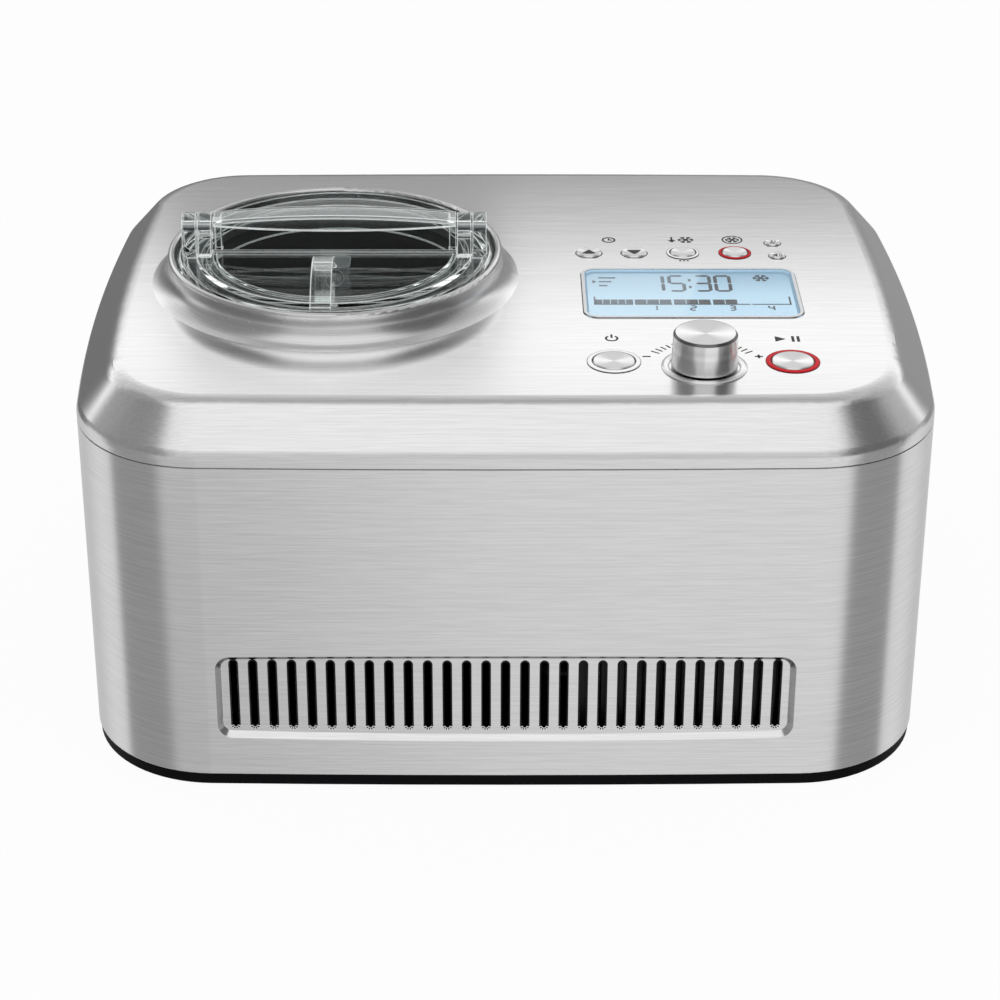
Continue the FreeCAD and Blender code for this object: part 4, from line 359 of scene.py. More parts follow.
def dasher_plastic(name):
    """Smoke-grey plastic with a painted pale highlight along its scraping edges."""
    finish = Finish(name)
    skin = finish.noise(finish.place(), 300.0, detail=3.0)
    # painted highlight: the edges get a pale colour
    painted_edge_highlight = finish.edges(0.8 * MM)
    return finish.surface({
        "Base Color": finish.blend(painted_edge_highlight, (0.16, 0.172, 0.176, 1.0), (0.72, 0.74, 0.74, 1.0)),
        "Roughness": 0.2 + skin * 0.1,
        "Normal": finish.bump(skin, 0.04, SKIN_DEPTH),
    })


def cast_metal(name, colour, rough, grain=240.0, depth=0.1, metal=1.0):
    """Plain metal as it comes from the mould, the drawing bench or the anodising tank."""
    finish = Finish(name)
    skin = finish.noise(finish.place(), grain, detail=4.0)
    stain = finish.noise(finish.place(), 18.0, detail=3.0)
    return finish.surface({
        "Base Color": finish.blend(stain, tint(colour, 0.72), tint(colour)),
        "Metallic": metal,
        "Roughness": rough + skin * 0.15,
        "Normal": finish.bump(skin, depth, SKIN_DEPTH),
    })


SHADE_BEHIND_INTAKE = (-98.0 * MM, -96.0 * MM)


def copper_tube(name):
    """Drawn copper with a brown bloom of tarnish, given painted shade, near black, where it runs behind the
    front air intake.
    """
    finish = Finish(name)
    tarnish = finish.noise(finish.place(), 70.0, detail=4.0)
    drawn = finish.noise(finish.place((200, 200, 200)), detail=1.0)
    # painted shade: near black behind the intake's slots, so they look dark
    outside_painted_shade = finish.axis(finish.place(), 1).step(*SHADE_BEHIND_INTAKE)
    copper = finish.blend(tarnish.step(0.35, 0.7), (0.78, 0.36, 0.20, 1.0), (0.36, 0.15, 0.08, 1.0))
    return finish.surface({
        "Base Color": finish.blend(outside_painted_shade, grey(0.012), copper),
        "Metallic": outside_painted_shade,
        "Roughness": 0.24 + tarnish * 0.2 + (1.0 - outside_painted_shade) * 0.25,
        "Normal": finish.bump(drawn, 0.06, SKIN_DEPTH),
    })


CELL_DEPTH = 0.6 * MM


def rigid_foam(name):
    """Poured foam with open cells and a yellowed skin."""
    finish = Finish(name)
    cells = finish.add("ShaderNodeTexVoronoi", None, {"Vector": finish.place(), "Scale": 420.0})
    cloud = finish.noise(finish.place(), 20.0, detail=3.0)
    return finish.surface({
        "Base Color": finish.blend(cloud, (0.78, 0.66, 0.40, 1.0), (0.90, 0.83, 0.64, 1.0)),
        "Roughness": 0.85,
        "Normal": finish.bump(cells, 0.5, CELL_DEPTH),
    })


def circuit_board(name):
    """Green solder mask with copper tracks under it and tinned pads."""
    finish = Finish(name)
    tracks = finish.add("ShaderNodeTexBrick", {"offset": 0.37, "squash": 1.6}, {
        "Vector": finish.place(), "Scale": 90.0, "Mortar Size": 0.06,
        "Color1": (0.01, 0.13, 0.05, 1.0), "Color2": (0.008, 0.10, 0.04, 1.0),
        "Mortar": (0.03, 0.22, 0.09, 1.0)})
    pads = finish.add("ShaderNodeTexVoronoi", None, {"Vector": finish.place(), "Scale": 260.0})
    pad = 1.0 - pads.step(0.10, 0.16)
    return finish.surface({
        "Base Color": finish.blend(pad, tracks, (0.72, 0.70, 0.66, 1.0)),
        "Metallic": pad,
        "Roughness": 0.32 + pad * 0.1,
        "Normal": finish.bump(pad, 0.3, SKIN_DEPTH),
    })


RING_LINE = 0.6 * MM


def glow_ring(name, node, size, light):
    """A light ring of translucent plastic, faintly lit, with a line of painted shade at both of its edges."""
    inner, outer = size
    colour, rim, gloss, lit = light
    finish = Finish(name)
    place = finish.place(centre=tuple(middle(node)))
    distance = finish.radius(place)
    # painted shade along the ring's inner and outer edge, where it meets the plate and the cap
    painted_edge_mask = (1.0 - distance.step(inner, inner + RING_LINE)) + distance.step(outer - RING_LINE, outer)
    cloud = finish.noise(place, 300.0, detail=2.0)
    tone = finish.blend(cloud, tint(colour, 0.85), tint(colour))
    shown = finish.blend(painted_edge_mask, tone, tint(rim))
    return finish.surface({
        "Base Color": shown,
        "Roughness": 0.30 + cloud * 0.08,
        "Specular IOR Level": gloss,
        "Emission Color": shown,
        "Emission Strength": lit,
    })


SHEEN_SLANT = 0.24
SHEEN_EDGE = (-1.0 * MM, 2.0 * MM)
FAR_FADE = (-6.0 * MM, 29.0 * MM)


def painted_window_sheen(finish, place):
    """1 on the display's left, where a sheen of the window is painted, and 0 on its right."""
    across = finish.axis(place, 0) - finish.axis(place, 1) * SHEEN_SLANT
    return 1.0 - across.step(*SHEEN_EDGE)


def backlit_display(name, centre):
    """A blue backlight, paler on the left under a painted sheen of the window and deeper along the far edge.
    """
    finish = Finish(name)
    place = finish.place(centre=centre)
    far = finish.axis(place, 1).step(*FAR_FADE)
    painted_sheen = painted_window_sheen(finish, place)
    cloud = finish.noise(place, 40.0, detail=2.0)
    glow = finish.blend(far, (0.44, 0.66, 0.82, 1.0), (0.20, 0.36, 0.50, 1.0))
    # painted sheen of the window, blended into the backlight's colour
    glow = finish.blend(painted_sheen * 0.45, glow, (0.60, 0.76, 0.86, 1.0))
    glow = finish.blend(cloud * 0.2, glow, (0.54, 0.72, 0.84, 1.0))
    return finish.surface({
        "Base Color": (0.03, 0.05, 0.06, 1.0),
        "Roughness": 0.3 + cloud * 0.05,
        "Emission Color": glow,
        "Emission Strength": 0.86,
    })


WINDOW_REACH = (49.2 * MM, 27.4 * MM)
WINDOW_EDGE = 0.3 * MM
FRAME_LIP = (PLATE_Z + 0.15 * MM, PLATE_Z + 0.3 * MM)


def painted_glow_frame(name, colour, rough, metal):
    """The frame round the display: what lies within the window's edge gets a painted blue glow of the
    backlight.
    """
    finish = Finish(name)
    place = finish.place(centre=tuple(middle("display_window")))
    painted_glow_mask = 1.0 - finish.axis(finish.place(), 2).step(*FRAME_LIP)
    for index, reach in enumerate(WINDOW_REACH):
        aside = abs(finish.axis(place, index))
        painted_glow_mask = painted_glow_mask * (1.0 - aside.step(reach, reach + WINDOW_EDGE))
    skin = finish.noise(place, 700.0, detail=4.0)
    return finish.surface({
        "Base Color": finish.blend(skin, tint(colour, 0.75), tint(colour)),
        "Metallic": metal,
        "Roughness": rough + skin * 0.15,
        # painted light: emission that stands in for the backlight's spill on the frame
        "Emission Color": finish.blend(painted_glow_mask, grey(0.0), (0.22, 0.34, 0.44, 1.0)),
        "Emission Strength": 1.0,
        "Normal": finish.bump(skin, 0.08, SKIN_DEPTH),
    })


def display_ink(name, centre):
    """Liquid-crystal segments: grey under a painted sheen on the left, near black on the right."""
    finish = Finish(name)
    place = finish.place(centre=centre)
    painted_sheen = painted_window_sheen(finish, place)
    cloud = finish.noise(place, 500.0, detail=1.0)
    return finish.surface({
        # painted sheen: the segments are grey under it
        "Base Color": finish.blend(painted_sheen, (0.012, 0.016, 0.022, 1.0), (0.15, 0.18, 0.21, 1.0)),
        "Roughness": 0.4 + cloud * 0.1,
    })


def clear_window(name):
    """The display's window: clear, flat and polished, with the finest wiping marks."""
    finish = Finish(name)
    wipe = finish.noise(finish.place((40, 400, 400)), detail=2.0)
    return finish.surface({
        "Base Color": (0.97, 0.99, 1.0, 1.0),
        "Roughness": 0.01 + wipe * 0.03,
        "IOR": 1.1,
        "Transmission Weight": 1.0,
    })


def print_ink(name, colour):
    """Screen-printed ink with a slightly broken surface."""
    finish = Finish(name)
    speckle = finish.noise(finish.place(), 2500.0, detail=2.0)
    return finish.surface({
        "Base Color": finish.blend(speckle, tint(colour, 0.6), tint(colour)),
        "Roughness": 0.45 + speckle * 0.2,
    })


def wear(node, material):
    """Give a node of the frame its finish."""
    for slot in nodes[node].material_slots:
        slot.material = material


def around(x, y, radius, angle):
    """The point at a radius and an angle in degrees round a centre."""
    return (x + radius * math.cos(math.radians(angle)), y + radius * math.sin(math.radians(angle)))


def segment(reach, cut):
    """One pointed segment of a figure, along its own length and across it."""
    return [(-reach, 0), (-reach + cut, -cut), (reach - cut, -cut),
            (reach, 0), (reach - cut, cut), (-reach + cut, cut)]


SEGMENT_GAP = 0.12
TWIG_PLACE = 0.62
TWIG_REACH = 0.2


class Outline:
    """Flat closed outlines in millimetres round a centre, for printed marks."""

    def __init__(self, x, y):
        self.x = x
        self.y = y
        self.loops = []

    def add(self, points):
        self.loops.append([((self.x + px) * MM, (self.y + py) * MM) for px, py in points])

    def bar(self, x, y, width, height, turn=0.0):
        c = math.cos(math.radians(turn))
        s = math.sin(math.radians(turn))
        corners = [(-width, -height), (width, -height), (width, height), (-width, height)]
        self.add([(x + (a * c - b * s) / 2, y + (a * s + b * c) / 2) for a, b in corners])

    def arc(self, x, y, radius, width, start, end, parts=20):
        angles = [start + (end - start) * i / parts for i in range(parts + 1)]
        outer = [around(x, y, radius + width / 2, angle) for angle in angles]
        inner = [around(x, y, radius - width / 2, angle) for angle in angles]
        self.add(outer + inner[::-1])

    def ring(self, x, y, radius, width):
        self.arc(x, y, radius, width, 0, 180)
        self.arc(x, y, radius, width, 180, 360)

    def polygon(self, x, y, points):
        self.add([(x + px, y + py) for px, py in points])

    def snowflake(self, x, y, size, line):
        for turn in (0, 60, 120):
            self.bar(x, y, 2 * size, line, turn)
        reach = TWIG_REACH * size
        for turn in range(0, 360, 60):
            fork = around(x, y, TWIG_PLACE * size, turn)
            for twig in (turn - 45, turn + 45):
                self.bar(*around(*fork, reach, twig), 2 * reach, line, twig)

    def figure(self, x, y, width, height, line, lit):
        """One seven-segment figure round its middle; lit names the segments a to g."""
        half_w = width / 2
        half_h = height / 2
        gap = line * SEGMENT_GAP
        rows = {"a": half_h, "g": 0.0, "d": -half_h}
        for name, level in rows.items():
            if name in lit:
                self.polygon(x, y + level, segment(half_w - gap, line / 2))
        columns = {"f": (-half_w, 1), "b": (half_w, 1), "e": (-half_w, -1), "c": (half_w, -1)}
        for name, (px, side) in columns.items():
            if name in lit:
                upright = [(-across, along) for along, across in segment(half_h / 2 - gap, line / 2)]
                self.polygon(x + px, y + side * half_h / 2, upright)


FIGURES = {"0": "abcdef", "1": "bc", "2": "abged", "3": "abgcd", "4": "fgbc", "5": "afgcd"}


def flat_piece(name, outlines, low, high, material, body):
    """One thin piece from flat outlines, between two levels."""
    work = bmesh.new()
    for outline in outlines:
        for loop in outline.loops:
            face = work.faces.new([work.verts.new((x, y, low)) for x, y in loop])
            raised = bmesh.ops.extrude_face_region(work, geom=[face])
            for item in raised["geom"]:
                if isinstance(item, bmesh.types.BMVert):
                    item.co.z = high
    bmesh.ops.recalc_face_normals(work, faces=work.faces)
    return finish_piece(name, work, material, body)


def finish_piece(name, work, material, body):
    """Turn a bmesh into a named piece that rides on a body."""
    mesh = bpy.data.meshes.new(name)
    work.to_mesh(mesh)
    work.free()
    mesh.materials.append(material)
    piece = bpy.data.objects.new(name, mesh)
    bpy.context.collection.objects.link(piece)
    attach(piece, body)
    return piece


NUMBER = "NodeSocketInt"
LENGTH = "NodeSocketFloat"
VECTOR = "NodeSocketVector"


class Pattern(Tree):
    """A Geometry Nodes tree with named size inputs that repeats one small shape."""

    def __init__(self, name, inputs):
        self.group = bpy.data.node_groups.new(name, "GeometryNodeTree")
        super().__init__(self.group)
        self.keys = {}
        for label, kind in {**inputs, "Material": "NodeSocketMaterial"}.items():
            socket = self.group.interface.new_socket(name=label, in_out="INPUT", socket_type=kind)
            self.keys[label] = socket.identifier
        self.group.interface.new_socket(name="Geometry", in_out="OUTPUT", socket_type="NodeSocketGeometry")

    def size(self, label):
        """One of the tree's inputs."""
        return self.add("NodeGroupInput", output=label)

    def close(self, shape):
        """Make the instances real, dress them and end the tree."""
        real = self.add("GeometryNodeRealizeInstances", None, {0: shape})
        dressed = self.add("GeometryNodeSetMaterial", None, {0: real, "Material": self.size("Material")})
        self.add("NodeGroupOutput", None, {0: dressed})

    def mesh(self, name, material, values):
        """The pattern at these sizes as a plain mesh."""
        carrier = bpy.data.objects.new(name, bpy.data.meshes.new(name))
        modifier = carrier.modifiers.new(name, "NODES")
        modifier.node_group = self.group
        for label, value in {**values, "Material": material}.items():
            modifier[self.keys[label]] = value
        bpy.context.collection.objects.link(carrier)
        graph = bpy.context.evaluated_depsgraph_get()
        made = bpy.data.meshes.new_from_object(carrier.evaluated_get(graph))
        carrier.modifiers.clear()
        bpy.data.objects.remove(carrier)
        return made


def pattern_piece(name, pattern, material, rows, body):
    """One piece from the same pattern at one or more sets of sizes."""
    work = bmesh.new()
    for values in rows:
        made = pattern.mesh(name, material, values)
        work.from_mesh(made)
        bpy.data.meshes.remove(made)
    return finish_piece(name, work, material, body)


ROW_SIZES = {"Count": NUMBER, "Start": VECTOR, "Pitch": VECTOR}


def straight_row(row):
    """Points in a straight row."""
    return row.add("GeometryNodeMeshLine", {"mode": "OFFSET"}, {
        "Count": row.size("Count"), "Start Location": row.size("Start"), "Offset": row.size("Pitch")})


def bowed_row(row):
    """Points in a row that follow the bow of the front wall."""
    x = row.axis(row.add("GeometryNodeInputPosition"), 0)
    back = row.add("ShaderNodeCombineXYZ", None, {1: x * x * row.size("Bow")})
    return row.add("GeometryNodeSetPosition", None, {"Geometry": straight_row(row), "Offset": back})


def outward_turn(fan):
    """The turn that points every instance away from the centre."""
    spot = fan.add("GeometryNodeInputPosition")
    x = fan.axis(spot, 0)
    y = fan.axis(spot, 1)
    return fan.add("ShaderNodeCombineXYZ", None, {2: x.math("ARCTAN2", y, x)})


def cell_row():
    """A row of flat cells, for the display's bar."""
    row = Pattern("cell_row", {**ROW_SIZES, "Cell": VECTOR})
    cell = row.add("GeometryNodeMeshCube", None, {"Size": row.size("Cell")})
    row.close(row.add("GeometryNodeInstanceOnPoints", None, {"Points": straight_row(row), "Instance": cell}))
    return row


def tick_fan():
    """Ticks along an arc round a centre, longer towards its end."""
    fan = Pattern("tick_fan", {"Count": NUMBER, "Centre": VECTOR, "Radius": LENGTH, "Start": LENGTH,
                               "Sweep": LENGTH, "Tick": VECTOR, "Growth": LENGTH})
    arc = fan.add("GeometryNodeCurveArc", {"mode": "RADIUS"}, {
        "Resolution": fan.size("Count"), "Radius": fan.size("Radius"),
        "Start Angle": fan.size("Start"), "Sweep Angle": fan.size("Sweep")})
    longer = fan.add("GeometryNodeInputIndex") * fan.size("Growth") + 1.0
    stretch = fan.add("ShaderNodeCombineXYZ", None, {0: longer, 1: 1.0, 2: 1.0})
    tick = fan.add("GeometryNodeMeshCube", None, {"Size": fan.size("Tick")})
    ticks = fan.add("GeometryNodeInstanceOnPoints", None, {
        "Points": arc, "Instance": tick, "Rotation": outward_turn(fan), "Scale": stretch})
    fan.close(fan.add("GeometryNodeTransform", None, {0: ticks, "Translation": fan.size("Centre")}))
    return fan


STAND_UP = (math.pi / 2, 0.0, 0.0)
SLOT_ROUNDING = 0.49
ROUNDING_STEPS = 6
ROLL_STEPS = 8
FLUTES = 5
FLUTE_START = math.radians(194)
FLUTE_SWEEP = math.radians(152)


def slot_lips():
    """A row of upright rounded slots, each with a rolled lip that stands on the sheet."""
    row = Pattern("slot_lips", {**ROW_SIZES, "Bow": LENGTH, "Width": LENGTH, "Height": LENGTH,
                                "Roll": LENGTH})
    slot = row.add("GeometryNodeCurvePrimitiveQuadrilateral", {"mode": "RECTANGLE"}, {
        "Width": row.size("Width"), "Height": row.size("Height")})
    rounded = row.add("GeometryNodeFilletCurve", {"mode": "POLY"}, {
        "Curve": slot, "Radius": row.size("Width") * SLOT_ROUNDING, "Count": ROUNDING_STEPS})
    roll = row.add("GeometryNodeCurvePrimitiveCircle", {"mode": "RADIUS"}, {
        "Resolution": ROLL_STEPS, "Radius": row.size("Roll")})
    lip = row.add("GeometryNodeCurveToMesh", None, {"Curve": rounded, "Profile Curve": roll})
    upright = row.add("GeometryNodeTransform", None, {0: lip, "Rotation": STAND_UP})
    row.close(row.add("GeometryNodeInstanceOnPoints", None, {"Points": bowed_row(row), "Instance": upright}))
    return row


def slot_flutes():
    """A row of small fans of bright flutes, one in the foot of every slot."""
    row = Pattern("slot_flutes", {**ROW_SIZES, "Bow": LENGTH, "Radius": LENGTH, "Flute": VECTOR})
    arc = row.add("GeometryNodeCurveArc", {"mode": "RADIUS"}, {
        "Resolution": FLUTES, "Radius": row.size("Radius"),
        "Start Angle": FLUTE_START, "Sweep Angle": FLUTE_SWEEP})
    flute = row.add("GeometryNodeMeshCube", None, {"Size": row.size("Flute")})
    fan = row.add("GeometryNodeInstanceOnPoints", None, {
        "Points": arc, "Instance": flute, "Rotation": outward_turn(row)})
    upright = row.add("GeometryNodeTransform", None, {0: fan, "Rotation": STAND_UP})
    row.close(row.add("GeometryNodeInstanceOnPoints", None, {"Points": bowed_row(row), "Instance": upright}))
    return row


def dress_casing():
    wear("top_cover", cover_steel("cover_steel"))
    wear("body_wrap", wrap_steel("wrap_steel"))
    wear("base_tray", moulding("base_black", (0.004, 0.004, 0.005), rough=0.5, shine=0.05))
    wear("rear_grille", moulding("grille_black", (0.018, 0.018, 0.020), rough=0.5))
    wear("cord_gland", moulding("gland_black", (0.022, 0.022, 0.024), rough=0.5, grain=600.0))
    wear("rubber_feet", rubber("foot_rubber"))
    wear("tub_seal", rubber("seal_rubber"))
    wear("compressor_grommets", rubber("grommet_rubber"))


BUTTONS = ("power", "start", "precool", "keep_cold", "timer_up", "timer_down", "units", "sound")
LARGE_RING = (9.6 * MM, 12.0 * MM)
SMALL_RING = (6.4 * MM, 7.9 * MM)
# the second colour of each light is the painted shade at the ring's edges
PALE_LIGHT = ((0.86, 0.86, 0.86), (0.05, 0.05, 0.055), 0.4, 0.28)
RED_LIGHT = ((0.60, 0.006, 0.014), (0.16, 0.004, 0.006), 0.08, 0.15)
RINGS = {"power": (LARGE_RING, PALE_LIGHT), "start": (LARGE_RING, RED_LIGHT),
         "precool": (SMALL_RING, PALE_LIGHT), "keep_cold": (SMALL_RING, RED_LIGHT)}


def dress_controls():
    for node in BUTTONS:
        wear(node + "_button", spun_metal(node + "_cap", node + "_button"))
    wear("dial_knob", spun_metal("knob_metal", "dial_knob", tone=0.72, bevel=KNOB_BEVEL))
    wear("dial_ring", spun_metal("dial_seat_metal", "dial_ring", tone=0.66, rough=0.26))
    for node, (size, light) in RINGS.items():
        wear(node + "_ring", glow_ring(node + "_glow", node + "_ring", size, light))
    wear("display_bezel", painted_glow_frame("bezel_metal", (0.60, 0.61, 0.62), 0.22, 1.0))
    wear("display_window", clear_window("window_clear"))
    wear("display_module", backlit_display("display_glow", tuple(middle("display_window"))))
    wear("panel_bracket", painted_glow_frame("bracket_dark", (0.05, 0.05, 0.055), 0.42, 0.0))
    wear("encoder", cast_metal("encoder_tin", (0.66, 0.66, 0.64), 0.3))
    wear("dial_shaft", cast_metal("dial_shaft_metal", (0.62, 0.62, 0.63), 0.28))
    wear("tact_switches", moulding("switch_black", (0.03, 0.03, 0.032)))
    wear("control_board", circuit_board("control_mask"))


def dress_bowl_and_lid():
    wear("lid_body", clear_lid("lid_clear", 0.15))
    wear("lid_flap", clear_lid("flap_clear", 0.06))
    wear("flap_pins", cast_metal("pin_steel", (0.32, 0.32, 0.33), 0.3))
    wear("ice_bowl", cast_metal("bowl_anodised", (0.05, 0.056, 0.058), 0.26, grain=500.0, metal=0.8))
    wear("dasher", dasher_plastic("dasher_grey"))
    wear("evaporator_tub", cast_metal("tub_aluminium", (0.60, 0.60, 0.61), 0.34))
    wear("evaporator_coil", copper_tube("coil_copper"))
    wear("foam_jacket", rigid_foam("jacket_foam"))
    wear("shaft_bush", cast_metal("bush_bronze", (0.55, 0.36, 0.18), 0.34))


def dress_drive():
    nylon = moulding("gear_nylon", (0.74, 0.71, 0.62), rough=0.36, grain=420.0, depth=0.06)
    for node in ("output_gear", "idler_gear"):
        wear(node, nylon)
    wear("motor_pinion", cast_metal("pinion_steel", (0.50, 0.50, 0.51), 0.3))
    wear("drive_shaft", cast_metal("shaft_steel", (0.58, 0.58, 0.59), 0.22))
    wear("gearbox_base", moulding("gearbox_grey", (0.09, 0.09, 0.10)))
    wear("gearbox_cover", moulding("gearbox_lid_grey", (0.11, 0.11, 0.12)))
    wear("drive_motor", cast_metal("motor_can", (0.46, 0.46, 0.47), 0.34))


def dress_cooling():
    enamel = cast_metal("pot_enamel", (0.012, 0.012, 0.013), 0.12, grain=120.0, depth=0.05, metal=0.0)
    wear("compressor", enamel)
    wear("compressor_plate", cast_metal("plate_zinc", (0.52, 0.52, 0.50), 0.36))
    wear("terminal_cover", moulding("terminal_black", (0.02, 0.02, 0.02)))
    wear("condenser", cast_metal("condenser_black", (0.035, 0.035, 0.037), 0.42, metal=0.7))
    wear("fan_shroud", moulding("shroud_black", (0.02, 0.02, 0.022)))
    wear("fan_blade", moulding("fan_black", (0.03, 0.03, 0.033), rough=0.34))
    wear("fan_motor", cast_metal("fan_motor_can", (0.42, 0.42, 0.43), 0.36))
    for node in ("filter_drier", "suction_pipe", "discharge_pipe", "liquid_line"):
        wear(node, copper_tube(node + "_copper"))
    wear("power_board", circuit_board("power_mask"))
    wear("power_parts", moulding("power_block", (0.05, 0.045, 0.02), rough=0.34))
    wear("screws", cast_metal("screw_zinc", (0.56, 0.56, 0.55), 0.26))


def outline_at(node):
    """Outlines round the middle of a node."""
    centre = middle(node)
    return Outline(centre.x / MM, centre.y / MM)


POWER_SIGN = 24.6
START_SIGN = 24.0
COLD_SIGN = 16.4
CLOCK_PLACE = (50.8, 43.4)
DIAL_SIGN = (24.8, 10.6)
HOLD_DOTS = (-1.8, 0.0, 1.8)
HOLD_LEVEL = -9.6
TICKS = 6
TICK_RADIUS = 25.6 * MM
TICK_SIZE = (2.4 * MM, 0.75 * MM, 2 * PRINT_PROUD)
TICK_GROWTH = 0.16
TICK_ARCS = ((112, 32), (68, -32))


def print_panel():
    """Generic symbols round the controls: power, run and stop, clock, cold, less and more, and dots."""
    ink = print_ink("panel_ink", (0.014, 0.014, 0.016))
    power = outline_at("power_button")
    power.arc(0, POWER_SIGN, 2.6, 0.95, 125, 415)
    power.bar(0, POWER_SIGN + 2.4, 0.95, 3.6)
    start = outline_at("start_button")
    start.polygon(-3.4, START_SIGN, [(-2.2, -2.8), (2.6, 0), (-2.2, 2.8)])
    start.bar(2.4, START_SIGN, 1.3, 5.8)
    start.bar(4.8, START_SIGN, 1.3, 5.8)
    timer = Outline(*CLOCK_PLACE)
    timer.ring(0, 0, 2.9, 0.9)
    timer.bar(0, 0.8, 0.8, 2.2)
    timer.bar(0.7, -0.1, 1.9, 0.8)
    precool = outline_at("precool_button")
    precool.snowflake(2.4, COLD_SIGN, 3.8, 0.8)
    precool.bar(-4.4, COLD_SIGN + 1.2, 1.0, 4.4)
    precool.polygon(-4.4, COLD_SIGN - 2.5, [(-1.9, 2.2), (0, -0.8), (1.9, 2.2)])
    keep = outline_at("keep_cold_button")
    keep.snowflake(0, COLD_SIGN, 3.4, 0.75)
    keep.ring(0, COLD_SIGN, 4.7, 0.75)
    turn = outline_at("dial_knob")
    aside, behind = DIAL_SIGN
    turn.bar(-aside, behind, 3.6, 1.0)
    turn.bar(aside, behind, 3.6, 1.0)
    turn.bar(aside, behind, 1.0, 3.6)
    hold = outline_at("precool_button")
    for x in HOLD_DOTS:
        hold.ring(x, HOLD_LEVEL, 0.3, 0.6)
    marks = [power, start, timer, precool, keep, turn, hold]
    low = PLATE_Z - PRINT_SUNK
    flat_piece("panel_symbols", marks, low, PLATE_Z + PRINT_PROUD, ink, "housing")
    dial = middle("dial_knob")
    shared = {"Count": TICKS, "Centre": (dial.x, dial.y, PLATE_Z), "Radius": TICK_RADIUS,
              "Tick": TICK_SIZE, "Growth": TICK_GROWTH}
    sides = [{**shared, "Start": math.radians(first), "Sweep": math.radians(sweep)}
             for first, sweep in TICK_ARCS]
    pattern_piece("dial_ticks", tick_fan(), ink, sides, "housing")
    return ink


ARROWS = {
    "timer_up": [(-3.5, -1.8), (3.5, -1.8), (0, 3.0)],
    "timer_down": [(-3.5, 2.2), (0, -2.6), (3.5, 2.2)],
}
SPEAKER = [(-1.1, -0.7), (-0.2, -0.7), (1.0, -1.8), (1.0, 1.8), (-0.2, 0.7), (-1.1, 0.7)]


def print_caps(ink):
    """The marks on the caps ride with their own buttons."""
    for node, points in ARROWS.items():
        mark = outline_at(node + "_button")
        mark.polygon(0, 0, points)
        cap_print(node, mark, ink)
    units = outline_at("units_button")
    units.ring(-0.2, -0.9, 0.9, 0.55)
    units.bar(-0.2, 0.9, 0.55, 2.2)
    units.bar(1.3, 1.3, 1.0, 0.4)
    units.bar(1.3, 0.3, 1.0, 0.4)
    cap_print("units", units, ink)
    sound = outline_at("sound_button")
    sound.polygon(-0.9, 0, SPEAKER)
    for radius in (1.3, 2.2):
        sound.arc(0.1, 0, radius, 0.4, -50, 50, 8)
    cap_print("sound", sound, ink)


CAP_DISH = 0.5 * MM


def cap_print(node, mark, ink):
    """A mark that lies in the hollow of its cap: it sinks with the distance from the cap's rim."""
    piece = flat_piece(node + "_mark", [mark], -PRINT_SUNK, PRINT_PROUD, ink, node)
    centre = middle(node + "_button")
    rim = top(node + "_button")
    low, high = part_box(node + "_button")
    radius = (high[0] - low[0]) / 2
    for vertex in piece.data.vertices:
        reach = math.hypot(vertex.co.x - centre.x, vertex.co.y - centre.y) / radius
        vertex.co.z += rim - CAP_DISH * (1.0 - reach * reach)


INK_GAP = 0.02 * MM
INK_DEPTH = 0.10 * MM
TIME_PLACES = (-15.4, -5.6, 6.6, 16.0)
TIME_LEVEL = 13.8
TIME_SIZE = (6.6, 17.6, 1.7)
TIME_DOTS = (9.6, 17.6)
NUMBER_PLACES = (-17.6, 0.4, 18.4, 36.4)
NUMBER_LEVEL = -14.6
NUMBER_SIZE = (2.4, 5.0, 0.9)
MENU_LEFT = -42.2
MENU_LINES = ((20.4, 8.0), (15.8, 6.0), (11.2, 4.0))
MENU_ARROW = (-44.3, 15.8)
COLD_MARK = (34.4, 20.0)
BAR_ENDS = (-44.8, 45.6)
BAR_MIDDLE = -6.2
BAR_FOOT = -10.4
BAR_GROUPS = ((-44.9, -27.2), (-26.3, -9.1), (-8.2, 8.9), (9.8, 27.0), (27.8, 45.9))
BAR_CELLS = ((5, -42.9, 3.55, 3.2), (3, -23.6, 5.75, 5.4), (3, -5.5, 5.75, 5.4), (2, 12.6, 5.75, 5.4))
CELL_LEVEL = -7.4
CELL_HEIGHT = 4.6


def draw_display():
    """Plain figures, a bar in five groups and a few generic signs on the display's glass."""
    centre = middle("display_window")
    ink = display_ink("display_segments", tuple(centre))
    level = top("display_module") + INK_GAP
    x = centre.x / MM
    y = centre.y / MM
    face = Outline(x, y)
    for place, figure in zip(TIME_PLACES, "1530"):
        face.figure(place, TIME_LEVEL, *TIME_SIZE, FIGURES[figure])
    for dot in TIME_DOTS:
        face.bar(0.5, dot, 1.3, 2.4)
    for place, figure in zip(NUMBER_PLACES, "1234"):
        face.figure(place, NUMBER_LEVEL, *NUMBER_SIZE, FIGURES[figure])
    face.polygon(*MENU_ARROW, [(-0.9, -1.8), (1.1, 0), (-0.9, 1.8)])
    for line, reach in MENU_LINES:
        face.bar(MENU_LEFT + reach / 2, line, reach, 1.3)
    face.snowflake(*COLD_MARK, 3.8, 0.85)
    for end in BAR_ENDS:
        face.bar(end, BAR_MIDDLE, 0.8, 9.0)
    for start, end in BAR_GROUPS:
        face.bar((start + end) / 2, BAR_FOOT, end - start, 0.9)
    flat_piece("display_figures", [face], level, level + INK_DEPTH, ink, "housing")
    rows = [{"Count": count, "Pitch": (pitch * MM, 0.0, 0.0),
             "Start": ((x + start) * MM, (y + CELL_LEVEL) * MM, level + INK_DEPTH / 2),
             "Cell": (width * MM, CELL_HEIGHT * MM, INK_DEPTH)}
            for count, start, pitch, width in BAR_CELLS]
    pattern_piece("display_bar", cell_row(), ink, rows, "housing")


